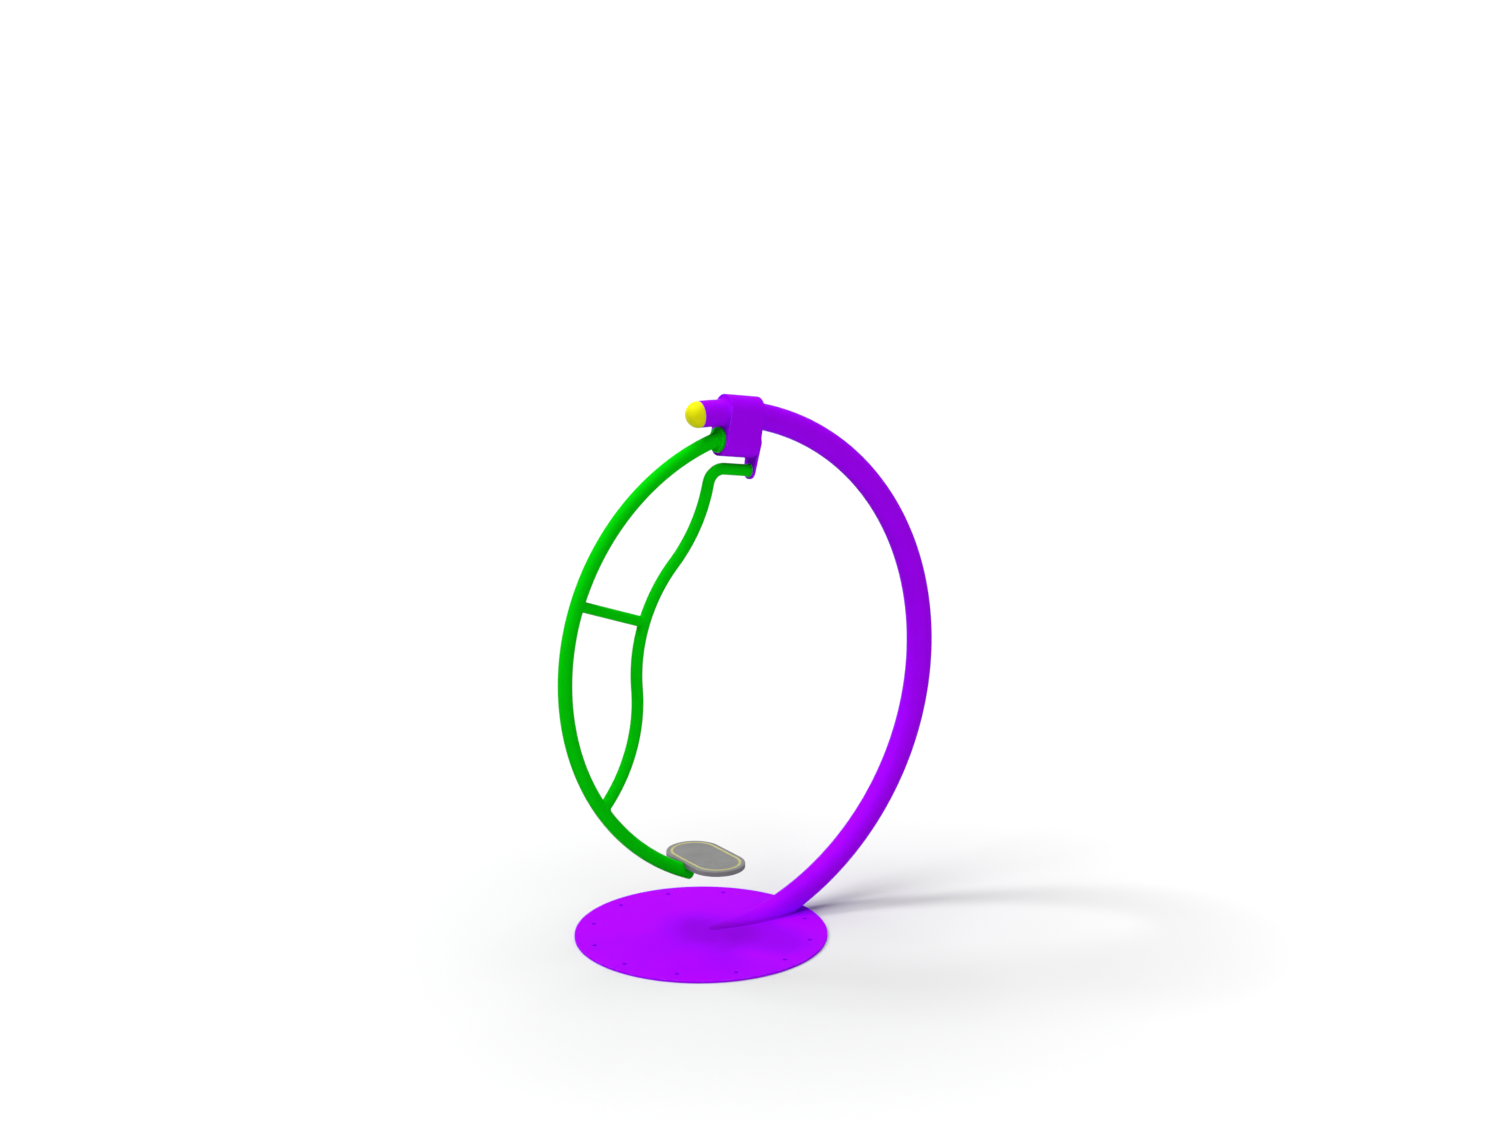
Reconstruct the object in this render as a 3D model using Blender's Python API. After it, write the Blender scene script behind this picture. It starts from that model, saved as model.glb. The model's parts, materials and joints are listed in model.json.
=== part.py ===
"""Stand-on playground pendulum.

A hooked tube post on a round base plate carries a bearing head near its top. A curved tube frame with a
footboard hangs from the shaft of that head and swings from side to side.

Units are metres and +Z is up. The origin is the centre of the base plate's underside. The post and the frame
lie in the XZ plane, with the bend of the post on the +X side and the frame on the -X side.
"""

from math import acos, asin, atan2, ceil, copysign, cos, pi, radians, sin, sqrt

import bmesh
import bpy
from mathutils import Matrix, Vector

# Fits
GAP = 0.0003            # between pieces that touch or are welded
RUN_GAP = 0.001         # between the head and the hub that turns beside it
SCALLOP_GAP = 0.0012    # round the hanger where it passes the edge of the footboard

# Facets
BEND_STEP = radians(6.5)
TIGHT_STEP = radians(11)
PLATE_SIDES = 64
POST_SIDES = 18
TUBE_SIDES = 12
TURNED_SIDES = 18
SMALL_SIDES = 12

# Base plate
PLATE_DIAMETER = 0.9144
PLATE_THICKNESS = 0.0095
ANCHOR_COUNT = 12
ANCHOR_EDGE = 0.058     # from the plate's rim to the anchor holes' centres
ANCHOR_HOLE = 0.016
ANCHOR_FIRST = radians(15)

# Post and its cap
POST_OUTER = 0.094
POST_WALL = 0.004
POST_BEND_RADIUS = 0.9725
POST_FOOT_RISE = 0.00555  # of the main bend's inner side above the plate, at the plate's centre
POST_FOOT_REACH = 0.040  # from the plate's centre to the tip of the tube's long mitre
POST_FOOT_TURN = radians(25)  # left to turn where the main bend gives way to the flatter foot
POST_TIP_RISE = 0.001    # of the tube's inner side above the plate, at the tip
CAP_WALL = 0.0035
CAP_SPIGOT = 0.010
CAP_PLAY = 0.001        # round the spigot, in the bent end of the post

# Bearing head
HEAD_ANGLE = radians(10)  # along the post's bend from its top end
HEAD_LENGTH = 0.140
HEAD_WALL = 0.005
HEAD_ROOM = 0.004       # from the sleeve or the post to the wrapper
HEAD_BRIDGE = 0.0055    # between the post and the sleeve
HEAD_RISE = 0.0085      # of the wrapper's upper bend above the post's centre line
END_PLATE_THICKNESS = 0.008
SWING_LIMIT = radians(35)

# Bearings, and the pieces of their stack
SHAFT_DIAMETER = 0.040
BEARING_OUTER = 0.080
BEARING_WIDTH = 0.018
BEARING_RECESS = 0.010  # from the head's end face to the bearing
BEARING_SECTION = (BEARING_OUTER - SHAFT_DIAMETER) / 2
RACE_LAND = 0.325 * BEARING_SECTION  # thickness of a ring beside its groove
BALL_DIAMETER = 0.45 * BEARING_SECTION
BALL_PLAY = 0.0007       # round a ball in its grooves
BALL_COUNT = 9
CAGE_THICKNESS = 0.0016
CAGE_WIDTH = 0.012
SLEEVE_WALL = 0.005
SLEEVE_SHOULDER = 0.004
SPACER_WALL = 0.0047
SEAL_WIDTH = 0.006
SEAL_PLAY = 0.0006      # between a seal and the distance ring that turns in it
SEAL_INSET = 0.001
SNAP_RING_WIDTH = 0.0016
SNAP_RING_DEPTH = 0.004
SNAP_RING_BITE = 0.0014
SNAP_RING_PLAY = 0.0008  # between a snap ring and the floor of its groove
SNAP_RING_OPENING = radians(28)
STOP_PIN_DIAMETER = 0.012
STOP_PIN_ROOT = 0.006   # from the shaft's axis to the pin's inner end
STOP_PIN_CLEARANCE = 0.0006
STOP_PIN_END = 0.003    # from the wrapper to the pin's outer end

# Hub, swing plate and the shaft's end
HUB_DIAMETER = 0.088
HUB_THICKNESS = 0.012
HUB_SOCKET = 0.008
HUB_CHAMFER = 0.0015
SWING_PLATE_OFFSET = 0.004
SWING_PLATE_THICKNESS = 0.010
SWING_PLATE_TOP_RADIUS = 0.042
SWING_PLATE_RIM = 0.010  # round the grip tube's end
TENON_SIDE = 0.024
STUD_DIAMETER = 0.020
STUD_LENGTH = 0.0243
SHAFT_NUT_FLATS = 0.030
SHAFT_NUT_HEIGHT = 0.016
WASHER_THICKNESS = 0.003
WASHER_RIM = 0.011

# Hanger, the long bend that carries the footboard
HANGER_OUTER = 0.0508
HANGER_WALL = 0.0032
HANGER_BEND_RADIUS = 0.832
HANGER_LEAVE = radians(24.8)  # below the shaft's axis, where it leaves the hub
HANGER_SWEEP = radians(141.3)
HANGER_TAIL = 0.010     # of straight tube at its lower end
HANGER_ROOT = 0.030     # of straight tube that the hub's face trims away
END_PLUG_THICKNESS = 0.006
END_PLUG_INSET = 0.001

# Grip tube
GRIP_OUTER = 0.0422
GRIP_WALL = 0.0032
GRIP_HEAD_CLEARANCE = 0.0229
GRIP_RUN = 0.105
GRIP_ELBOW_RADIUS = 0.057
GRIP_ELBOW_SWEEP = radians(87.6)
GRIP_BEND_RADIUS = 0.554
GRIP_UPPER_SWEEP = radians(31.8)
GRIP_MIDDLE_SWEEP = radians(48.6)
GRIP_PLUG_LENGTH = 0.030
GRIP_PLUG_FLOOR = 0.004
GRIP_BOLT_DIAMETER = 0.016
GRIP_BOLT_LENGTH = 0.038
GRIP_BOLT_FLATS = 0.024
GRIP_BOLT_HEAD = 0.010

# Cross brace
BRACE_OUTER = 0.0381
BRACE_WALL = 0.0026
BRACE_ANGLE = radians(159.4)  # of its line, seen from the centre of the hanger's bend

# Footboard and its mount
BOARD_WIDTH = 0.204
BOARD_LENGTH = 0.351
BOARD_THICKNESS = 0.020
BOARD_EDGE_ROUND = 0.004
BOARD_REACH = 0.0656    # from the hanger's end to the board's centre
GROOVE_INSET = 0.016
GROOVE_WIDTH = 0.007
GROOVE_DEPTH = 0.002
MOUNT_LENGTH = 0.170
MOUNT_WIDTH = 0.130
MOUNT_CORNER = 0.018
MOUNT_THICKNESS = 0.006
MOUNT_SINK = 0.004     # of the mount's underside below the hanger's upper side, at its end
BOLT_SPACING_X = 0.110
BOLT_SPACING_Y = 0.086
BOLT_DIAMETER = 0.010
BOLT_DEPTH = 0.015
BOLT_FLATS = 0.017
BOLT_HEAD = 0.008
BOLT_FLANGE = 0.023
BOLT_FLANGE_THICKNESS = 0.002

# Finishes: linear red, green and blue, roughness, metallic
PURPLE_PAINT = ((0.33, 0.004, 0.88), 0.35, 0.0)
GREEN_PAINT = ((0.0, 0.50, 0.006), 0.35, 0.0)
YELLOW_PLASTIC = ((0.88, 0.80, 0.0), 0.4, 0.0)
GREY_BOARD = ((0.30, 0.28, 0.30), 0.6, 0.0)
BEARING_STEEL = ((0.55, 0.56, 0.58), 0.25, 1.0)
ZINC = ((0.58, 0.58, 0.56), 0.4, 1.0)
BRASS_CAGE = ((0.60, 0.42, 0.15), 0.4, 1.0)
BLACK_RUBBER = ((0.02, 0.02, 0.02), 0.7, 0.0)

# Derived places of the post and the head
POST_CENTRE_Z = PLATE_THICKNESS + POST_FOOT_RISE + POST_BEND_RADIUS - POST_OUTER / 2
POST_TOP = Vector((0, 0, POST_CENTRE_Z + POST_BEND_RADIUS))
SLEEVE_OUTER = BEARING_OUTER + 2 * SLEEVE_WALL
WRAP_INNER_RADIUS = max(POST_OUTER, SLEEVE_OUTER) / 2 + HEAD_ROOM
WRAP_RADIUS = WRAP_INNER_RADIUS + HEAD_WALL
PIVOT_DROP = (POST_OUTER + SLEEVE_OUTER) / 2 + HEAD_BRIDGE
LEVER = WRAP_RADIUS + GRIP_HEAD_CLEARANCE + GRIP_OUTER / 2
HALF_HEAD = HEAD_LENGTH / 2
AXIS_WAY = Vector((cos(HEAD_ANGLE), 0, -sin(HEAD_ANGLE)))
OUTWARD = Vector((sin(HEAD_ANGLE), 0, cos(HEAD_ANGLE)))
PIVOT = Vector((0, 0, POST_CENTRE_Z)) + (POST_BEND_RADIUS - PIVOT_DROP) * OUTWARD
HUB_IN = -(HALF_HEAD + RUN_GAP)
HUB_OUT = HUB_IN - HUB_THICKNESS
PLATE_IN = HALF_HEAD + SWING_PLATE_OFFSET
PLATE_OUT = PLATE_IN + SWING_PLATE_THICKNESS
BEARING_OUT = HALF_HEAD - BEARING_RECESS
BEARING_IN = BEARING_OUT - BEARING_WIDTH
SHAFT_RADIUS = SHAFT_DIAMETER / 2
INNER_BORE = SHAFT_RADIUS + GAP
SPACER_RADIUS = INNER_BORE + SPACER_WALL
BALL_PITCH = (BEARING_OUTER / 2 + INNER_BORE) / 2


def heading_way(heading):
    """Unit vector in the XZ plane at an angle from +X towards +Z."""
    return Vector((cos(heading), 0, sin(heading)))


def paint(obj, finish):
    """Gives an object its own material from a colour, a roughness and a metallic value."""
    colour, roughness, metallic = finish
    material = bpy.data.materials.new(obj.name)
    material.use_nodes = True
    shader = material.node_tree.nodes["Principled BSDF"]
    shader.inputs["Base Color"].default_value = (*colour, 1)
    shader.inputs["Roughness"].default_value = roughness
    shader.inputs["Metallic"].default_value = metallic
    obj.data.materials.append(material)


def add_empty(name, location, rotation=(0, 0, 0)):
    empty = bpy.data.objects.new(name, None)
    bpy.context.scene.collection.objects.link(empty)
    empty.location = location
    empty.rotation_euler = rotation
    empty.empty_display_size = 0.05
    return empty


def add_object(name, bm, finish=None, parent=None, keep_place=False):
    """Turns a bmesh into an object. Without a finish it is a cutter, which stays out of the model.

    A piece is placed in its parent's frame, or with keep_place in the world's.
    """
    bmesh.ops.recalc_face_normals(bm, faces=bm.faces)
    mesh = bpy.data.meshes.new(name)
    bm.to_mesh(mesh)
    bm.free()
    mesh.shade_smooth()
    mesh.set_sharp_from_angle(angle=radians(32))
    obj = bpy.data.objects.new(name, mesh)
    bpy.context.scene.collection.objects.link(obj)
    obj.parent = parent
    if keep_place:
        bpy.context.view_layer.update()
        obj.matrix_parent_inverse = parent.matrix_world.inverted()
    if finish:
        paint(obj, finish)
    else:
        obj.hide_render = True
        obj.display_type = "WIRE"
    return obj


def boolean(obj, other, operation="DIFFERENCE"):
    modifier = obj.modifiers.new(f"{operation.lower()}_{other.name}", "BOOLEAN")
    modifier.operation = operation
    modifier.solver = "EXACT"
    modifier.object = other


def bevel(obj, width, segments=1):
    modifier = obj.modifiers.new("edge", "BEVEL")
    modifier.width = width
    modifier.segments = segments
    modifier.limit_method = "ANGLE"
    modifier.angle_limit = radians(40)


def arc(centre, radius, first, last, steps):
    """Points of a circular arc in a plane, from one angle to another."""
    angles = [first + (last - first) * k / steps for k in range(steps + 1)]
    return [(centre[0] + radius * cos(a), centre[1] + radius * sin(a)) for a in angles]


def link_outline(lower, lower_radius, upper, upper_radius, steps=14):
    """Outline of two circles, one above the other, joined by their outer tangents."""
    tilt = asin((lower_radius - upper_radius) / (upper - lower))
    top = arc((0, upper), upper_radius, tilt, pi - tilt, steps)
    return top + arc((0, lower), lower_radius, pi - tilt, 2 * pi + tilt, steps)


def box_outline(width, height, corner, steps=5):
    """Rectangle with round corners about the origin."""
    points = []
    for k, (sx, sy) in enumerate([(1, 1), (-1, 1), (-1, -1), (1, -1)]):
        centre = (sx * (width / 2 - corner), sy * (height / 2 - corner))
        points += arc(centre, corner, k * pi / 2, (k + 1) * pi / 2, steps)
    return points


def hexagon(flats):
    return arc((0, 0), flats / sqrt(3), 0, 5 * pi / 3, 5)


def circle(radius, sides):
    return arc((0, 0), radius, 0, 2 * pi * (sides - 1) / sides, sides - 1)


def extrusion(bm, outline, first, last, along="X"):
    """Adds the prism of an outline. Along X the outline is in Y and Z, and along Z it is in X and Y."""
    if along == "X":
        corners = [bm.verts.new((first, a, b)) for a, b in outline]
        step = (last - first, 0, 0)
    else:
        corners = [bm.verts.new((a, b, first)) for a, b in outline]
        step = (0, 0, last - first)
    made = bmesh.ops.extrude_face_region(bm, geom=[bm.faces.new(corners)])
    bmesh.ops.translate(bm, verts=[g for g in made["geom"] if isinstance(g, bmesh.types.BMVert)], vec=step)
    return bm


def revolution(bm, profile, sides, closed=True, angle=2 * pi):
    """Turns a profile of (place along X, radius) about the X axis."""
    verts = [bm.verts.new((x, 0, r)) for x, r in profile]
    pairs = list(zip(verts, verts[1:]))
    if closed:
        pairs.append((verts[-1], verts[0]))
    edges = [bm.edges.new(pair) for pair in pairs]
    source = verts + edges
    if angle < 2 * pi:
        source.append(bm.faces.new(verts))
    bmesh.ops.spin(bm, geom=source, cent=(0, 0, 0), axis=(1, 0, 0), angle=angle, steps=sides)
    bmesh.ops.remove_doubles(bm, verts=bm.verts, dist=1e-6)
    return bm


def ring_profile(first, last, inner, outer):
    return [(first, outer), (last, outer), (last, inner), (first, inner)]


def rod(radius, first, last, sides):
    """A solid round bar along X, whose facets line up with those of the turned pieces."""
    profile = [(first, 0), (first, radius), (last, radius), (last, 0)]
    return revolution(bmesh.new(), profile, sides, closed=False)


class Bend:
    """One move of the tube bender: its centre, and the place and heading that it ends at."""

    def __init__(self, start, heading, radius, sweep):
        self.radius = radius
        self.sweep = sweep
        self.centre = start + radius * heading_way(heading + copysign(pi / 2, sweep))
        self.end_heading = heading + sweep
        self.end = self.centre - radius * heading_way(self.end_heading + copysign(pi / 2, sweep))


class TubePath:
    """A tube's centre line in the XZ plane, made of straight runs and bends, each tangent to the last."""

    def __init__(self, start, heading):
        self.start = self.end = start
        self.first_heading = self.heading = heading
        self.moves = []

    def run(self, length):
        self.moves.append(length)
        self.end = self.end + length * heading_way(self.heading)
        return self

    def bend(self, radius, sweep):
        move = Bend(self.end, self.heading, radius, sweep)
        self.moves.append(move)
        self.end, self.heading = move.end, move.end_heading
        return move

    def mesh(self, outer, wall, sides):
        """Carries a round section along the path. Without a wall the section is solid."""
        bm = bmesh.new()
        turn = heading_way(self.first_heading).to_track_quat("Z", "Y").to_matrix().to_4x4()
        frame = Matrix.Translation(self.start) @ turn
        bmesh.ops.create_circle(bm, cap_ends=not wall, radius=outer, segments=sides, matrix=frame)
        if wall:
            bmesh.ops.create_circle(bm, radius=outer - wall, segments=sides, matrix=frame)
            bmesh.ops.bridge_loops(bm, edges=bm.edges[:])
        end = bm.verts[:] + bm.edges[:] + bm.faces[:]
        heading = self.first_heading
        for move in self.moves:
            if isinstance(move, Bend):
                step = TIGHT_STEP if move.radius < 4 * outer else BEND_STEP
                end = bmesh.ops.spin(
                    bm, geom=end, cent=move.centre, axis=(0, -1, 0), angle=move.sweep,
                    steps=ceil(abs(move.sweep) / step),
                )["geom_last"]
                heading = move.end_heading
            else:
                end = bmesh.ops.extrude_face_region(bm, geom=end)["geom"]
                verts = [g for g in end if isinstance(g, bmesh.types.BMVert)]
                bmesh.ops.translate(bm, verts=verts, vec=move * heading_way(heading))
        return bm

    def tube(self, name, outer, wall, sides, finish, parent):
        return add_object(name, self.mesh(outer / 2, wall, sides), finish, parent, keep_place=True)

    def envelope(self, name, outer, gap, sides, parent):
        """The space that the tube takes, with a gap all round, to cut its neighbours with."""
        return add_object(name, self.mesh(outer / 2 + gap, None, sides), None, parent, keep_place=True)


def circle_crossing(centre, radius, other, other_radius, side):
    """Where two circles in the XZ plane cross, on the left (1) or the right (-1) of the line of centres."""
    way = other - centre
    distance = way.length
    along = (distance**2 + radius**2 - other_radius**2) / (2 * distance)
    across = side * sqrt(radius**2 - along**2)
    unit = way / distance
    return centre + along * unit + across * Vector((-unit.z, 0, unit.x))


def turn_between(first, last, sign):
    """Angle from one heading to another, going round in the given direction."""
    return sign * ((sign * (last - first)) % (2 * pi))


def post_path():
    """One long bend, and a flatter one at its foot that brings the tube's inner side down to the plate."""
    path = TubePath(POST_TOP, 0.0)
    path.bend(POST_BEND_RADIUS, POST_FOOT_TURN - pi)
    run = path.end.x - POST_FOOT_REACH
    drop = path.end.z - PLATE_THICKNESS - POST_TIP_RISE + POST_OUTER / 2
    last = 2 * atan2(drop, run) - POST_FOOT_TURN
    path.bend(run / (sin(POST_FOOT_TURN) - sin(last)), last - POST_FOOT_TURN)
    return path


def hanger_path():
    start = PIVOT + HUB_OUT * AXIS_WAY
    heading = pi - HEAD_ANGLE + HANGER_LEAVE
    path = TubePath(start - HANGER_ROOT * heading_way(heading), heading).run(HANGER_ROOT)
    bend = path.bend(HANGER_BEND_RADIUS, HANGER_SWEEP)
    return path.run(HANGER_TAIL), bend


def grip_start():
    """Place and heading of the grip tube's end on the swing plate."""
    return PIVOT + (PLATE_IN - GAP) * AXIS_WAY - LEVER * OUTWARD, pi - HEAD_ANGLE


def grip_path(hanger_bend):
    """Runs under the head, turns down in an elbow, waves past the rider and ends inside the hanger."""
    path = TubePath(*grip_start()).run(GRIP_RUN)
    path.bend(GRIP_ELBOW_RADIUS, GRIP_ELBOW_SWEEP)
    path.bend(GRIP_BEND_RADIUS, -GRIP_UPPER_SWEEP)
    middle = path.bend(GRIP_BEND_RADIUS, GRIP_MIDDLE_SWEEP)
    last_centre = path.end + GRIP_BEND_RADIUS * heading_way(path.heading - pi / 2)
    meet = circle_crossing(last_centre, GRIP_BEND_RADIUS, hanger_bend.centre, HANGER_BEND_RADIUS, -1)
    spoke = meet - last_centre
    meet_heading = atan2(spoke.z, spoke.x) - pi / 2
    path.bend(GRIP_BEND_RADIUS, turn_between(path.heading, meet_heading, -1))
    return path, middle


def brace_path(hanger_bend, grip_bend):
    """A straight tube on a spoke of the hanger's bend, from the hanger's centre line to the grip tube's."""
    spoke = heading_way(BRACE_ANGLE)
    offset = grip_bend.centre - hanger_bend.centre
    along = offset.dot(spoke)
    grip_reach = along + sqrt(GRIP_BEND_RADIUS**2 - (offset - along * spoke).length_squared)
    start = hanger_bend.centre + HANGER_BEND_RADIUS * spoke
    return TubePath(start, BRACE_ANGLE + pi).run(HANGER_BEND_RADIUS - grip_reach)


def make_base_plate():
    outline = circle(PLATE_DIAMETER / 2, PLATE_SIDES)
    plate = add_object("base_plate", extrusion(bmesh.new(), outline, 0, PLATE_THICKNESS, "Z"), PURPLE_PAINT)
    drills = bmesh.new()
    for k in range(ANCHOR_COUNT):
        angle = ANCHOR_FIRST + 2 * pi * k / ANCHOR_COUNT
        radius = PLATE_DIAMETER / 2 - ANCHOR_EDGE
        spot = (radius * cos(angle), radius * sin(angle))
        hole = [(x + spot[0], y + spot[1]) for x, y in circle(ANCHOR_HOLE / 2, SMALL_SIDES)]
        extrusion(drills, hole, -PLATE_THICKNESS, 2 * PLATE_THICKNESS, "Z")
    boolean(plate, add_object("anchor_drills", drills))
    return plate


def make_post(plate):
    """The bent tube, mitred flush with the top of the base plate, and its domed end cap."""
    path = post_path()
    post = path.tube("post", POST_OUTER, POST_WALL, POST_SIDES, PURPLE_PAINT, plate)
    reach = 2 * POST_BEND_RADIUS
    ground = extrusion(bmesh.new(), box_outline(reach, reach, GAP, 1), -reach, PLATE_THICKNESS + GAP, "Z")
    boolean(post, add_object("post_foot_cut", ground))
    seat = add_empty("cap_seat", POST_TOP, (0, 0, pi))
    outer = POST_OUTER / 2
    spigot = outer - POST_WALL - CAP_PLAY
    hollow = spigot - CAP_WALL
    profile = arc((GAP, 0), outer, 0, pi / 2, 6)
    profile += [(GAP, spigot), (-CAP_SPIGOT, spigot), (-CAP_SPIGOT, hollow)]
    profile += arc((GAP, 0), hollow, pi / 2, 0, 4)
    add_object("post_cap", revolution(bmesh.new(), profile, POST_SIDES, closed=False), YELLOW_PLASTIC, seat)
    return path


def make_head(head, post_envelope):
    """The fixed weldment: an obround wrapper, two end plates and the sleeve that holds the bearings."""
    upper = PIVOT_DROP + HEAD_RISE
    outer = link_outline(0, WRAP_RADIUS, upper, WRAP_RADIUS)
    inner = link_outline(0, WRAP_INNER_RADIUS, upper, WRAP_INNER_RADIUS)
    shell = extrusion(bmesh.new(), outer, -HALF_HEAD, HALF_HEAD)
    wrapper = add_object("head_wrapper", shell, PURPLE_PAINT, head)
    core = extrusion(bmesh.new(), inner, -HEAD_LENGTH, HEAD_LENGTH)
    boolean(wrapper, add_object("head_core", core, parent=head))
    filling = link_outline(0, WRAP_INNER_RADIUS - GAP, upper, WRAP_INNER_RADIUS - GAP)
    bore = rod(SLEEVE_OUTER / 2 + GAP, -HEAD_LENGTH, HEAD_LENGTH, TURNED_SIDES)
    sleeve_bore = add_object("sleeve_bore", bore, parent=head)
    for side, first in (("left", -HALF_HEAD), ("right", HALF_HEAD - END_PLATE_THICKNESS)):
        body = extrusion(bmesh.new(), filling, first, first + END_PLATE_THICKNESS)
        end_plate = add_object(f"head_end_plate_{side}", body, PURPLE_PAINT, head)
        boolean(end_plate, post_envelope)
        boolean(end_plate, sleeve_bore)
    make_sleeve(head)


def make_sleeve(head):
    """Turned tube with a shoulder and a snap ring groove for each bearing, and a slot that stops the swing."""
    bore = BEARING_OUTER / 2 + GAP
    groove = bore + SNAP_RING_BITE
    groove_in = BEARING_OUT + GAP
    groove_out = groove_in + SNAP_RING_WIDTH + 2 * GAP
    shoulder = BEARING_IN - GAP
    half = [
        (HALF_HEAD, SLEEVE_OUTER / 2), (HALF_HEAD, bore), (groove_out, bore), (groove_out, groove),
        (groove_in, groove), (groove_in, bore), (shoulder, bore), (shoulder, bore - SLEEVE_SHOULDER),
    ]
    profile = half + [(-x, r) for x, r in reversed(half)]
    sleeve = add_object("bearing_sleeve", revolution(bmesh.new(), profile, TURNED_SIDES), BEARING_STEEL, head)
    pin_reach = STOP_PIN_DIAMETER / 2 + STOP_PIN_CLEARANCE
    half_slot = SWING_LIMIT + asin(pin_reach / (bore - SLEEVE_SHOULDER))
    slot = ring_profile(-pin_reach, pin_reach, bore - 2 * SLEEVE_SHOULDER, SLEEVE_OUTER / 2 + SLEEVE_SHOULDER)
    cutter = revolution(bmesh.new(), slot, SMALL_SIDES, angle=2 * half_slot)
    bmesh.ops.rotate(cutter, verts=cutter.verts, matrix=Matrix.Rotation(pi - half_slot, 3, "X"))
    boolean(sleeve, add_object("stop_slot", cutter, parent=head))


def race_profile(land_radius, back_radius):
    """Half section of a bearing ring: a groove for the balls in its land, flat on its back."""
    half = BEARING_WIDTH / 2
    groove = BALL_DIAMETER / 2 + BALL_PLAY
    depth = abs(BALL_PITCH - land_radius)
    away = copysign(1, land_radius - BALL_PITCH)
    open_angle = acos(depth / groove)
    curve = arc((0, BALL_PITCH), groove, away * pi / 2 - open_angle, away * pi / 2 + open_angle, 4)
    if away < 0:
        curve.reverse()
    return [(-half, back_radius), (half, back_radius), (half, land_radius), *curve, (-half, land_radius)]


def make_bearings(head, swing, cages):
    """Two deep-groove bearings, each an outer ring, an inner ring and balls in a cage."""
    outer_land = BEARING_OUTER / 2 - RACE_LAND
    inner_land = INNER_BORE + RACE_LAND
    for side, sign in (("left", -1), ("right", 1)):
        place = sign * (BEARING_IN + BEARING_OUT) / 2
        rings = (
            ("outer", race_profile(outer_land, BEARING_OUTER / 2), head),
            ("inner", race_profile(inner_land, INNER_BORE), swing),
        )
        for ring, profile, parent in rings:
            shape = revolution(bmesh.new(), [(x + place, r) for x, r in profile], TURNED_SIDES)
            add_object(f"bearing_{ring}_ring_{side}", shape, BEARING_STEEL, parent)
        band = ring_profile(
            place - CAGE_WIDTH / 2, place + CAGE_WIDTH / 2,
            BALL_PITCH - CAGE_THICKNESS / 2, BALL_PITCH + CAGE_THICKNESS / 2,
        )
        cage = add_object(f"ball_cage_{side}", revolution(bmesh.new(), band, TURNED_SIDES), BRASS_CAGE, cages)
        balls = bmesh.new()
        for k in range(BALL_COUNT):
            angle = 2 * pi * (k + 0.25) / BALL_COUNT
            spot = Matrix.Translation((place, BALL_PITCH * cos(angle), BALL_PITCH * sin(angle)))
            bmesh.ops.create_uvsphere(
                balls, u_segments=8, v_segments=4, radius=BALL_DIAMETER / 2, matrix=spot
            )
        boolean(cage, add_object(f"balls_{side}", balls, parent=cages), "UNION")


def make_seals_and_rings(head, swing):
    """What closes each end of the sleeve: a snap ring, a lip seal and the distance ring that it runs on."""
    bore = BEARING_OUTER / 2 + GAP
    ends = {"left": (-1, -HUB_IN), "right": (1, PLATE_IN)}
    for side, (sign, stack_end) in ends.items():
        ring_in = BEARING_OUT + 2 * GAP
        outside = bore + SNAP_RING_BITE - SNAP_RING_PLAY
        profile = ring_profile(ring_in, ring_in + SNAP_RING_WIDTH, outside - SNAP_RING_DEPTH, outside)
        snap = revolution(
            bmesh.new(), [(sign * x, r) for x, r in profile], TURNED_SIDES, angle=2 * pi - SNAP_RING_OPENING
        )
        add_object(f"snap_ring_{side}", snap, BEARING_STEEL, head)
        seal_out = HALF_HEAD - SEAL_INSET
        profile = ring_profile(seal_out - SEAL_WIDTH, seal_out, SPACER_RADIUS + SEAL_PLAY, bore - GAP)
        seal = revolution(bmesh.new(), [(sign * x, r) for x, r in profile], TURNED_SIDES)
        add_object(f"lip_seal_{side}", seal, BLACK_RUBBER, head)
        profile = ring_profile(BEARING_OUT + GAP, stack_end - GAP, INNER_BORE, SPACER_RADIUS)
        distance = revolution(bmesh.new(), [(sign * x, r) for x, r in profile], TURNED_SIDES)
        add_object(f"distance_ring_{side}", distance, ZINC, swing)


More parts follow.
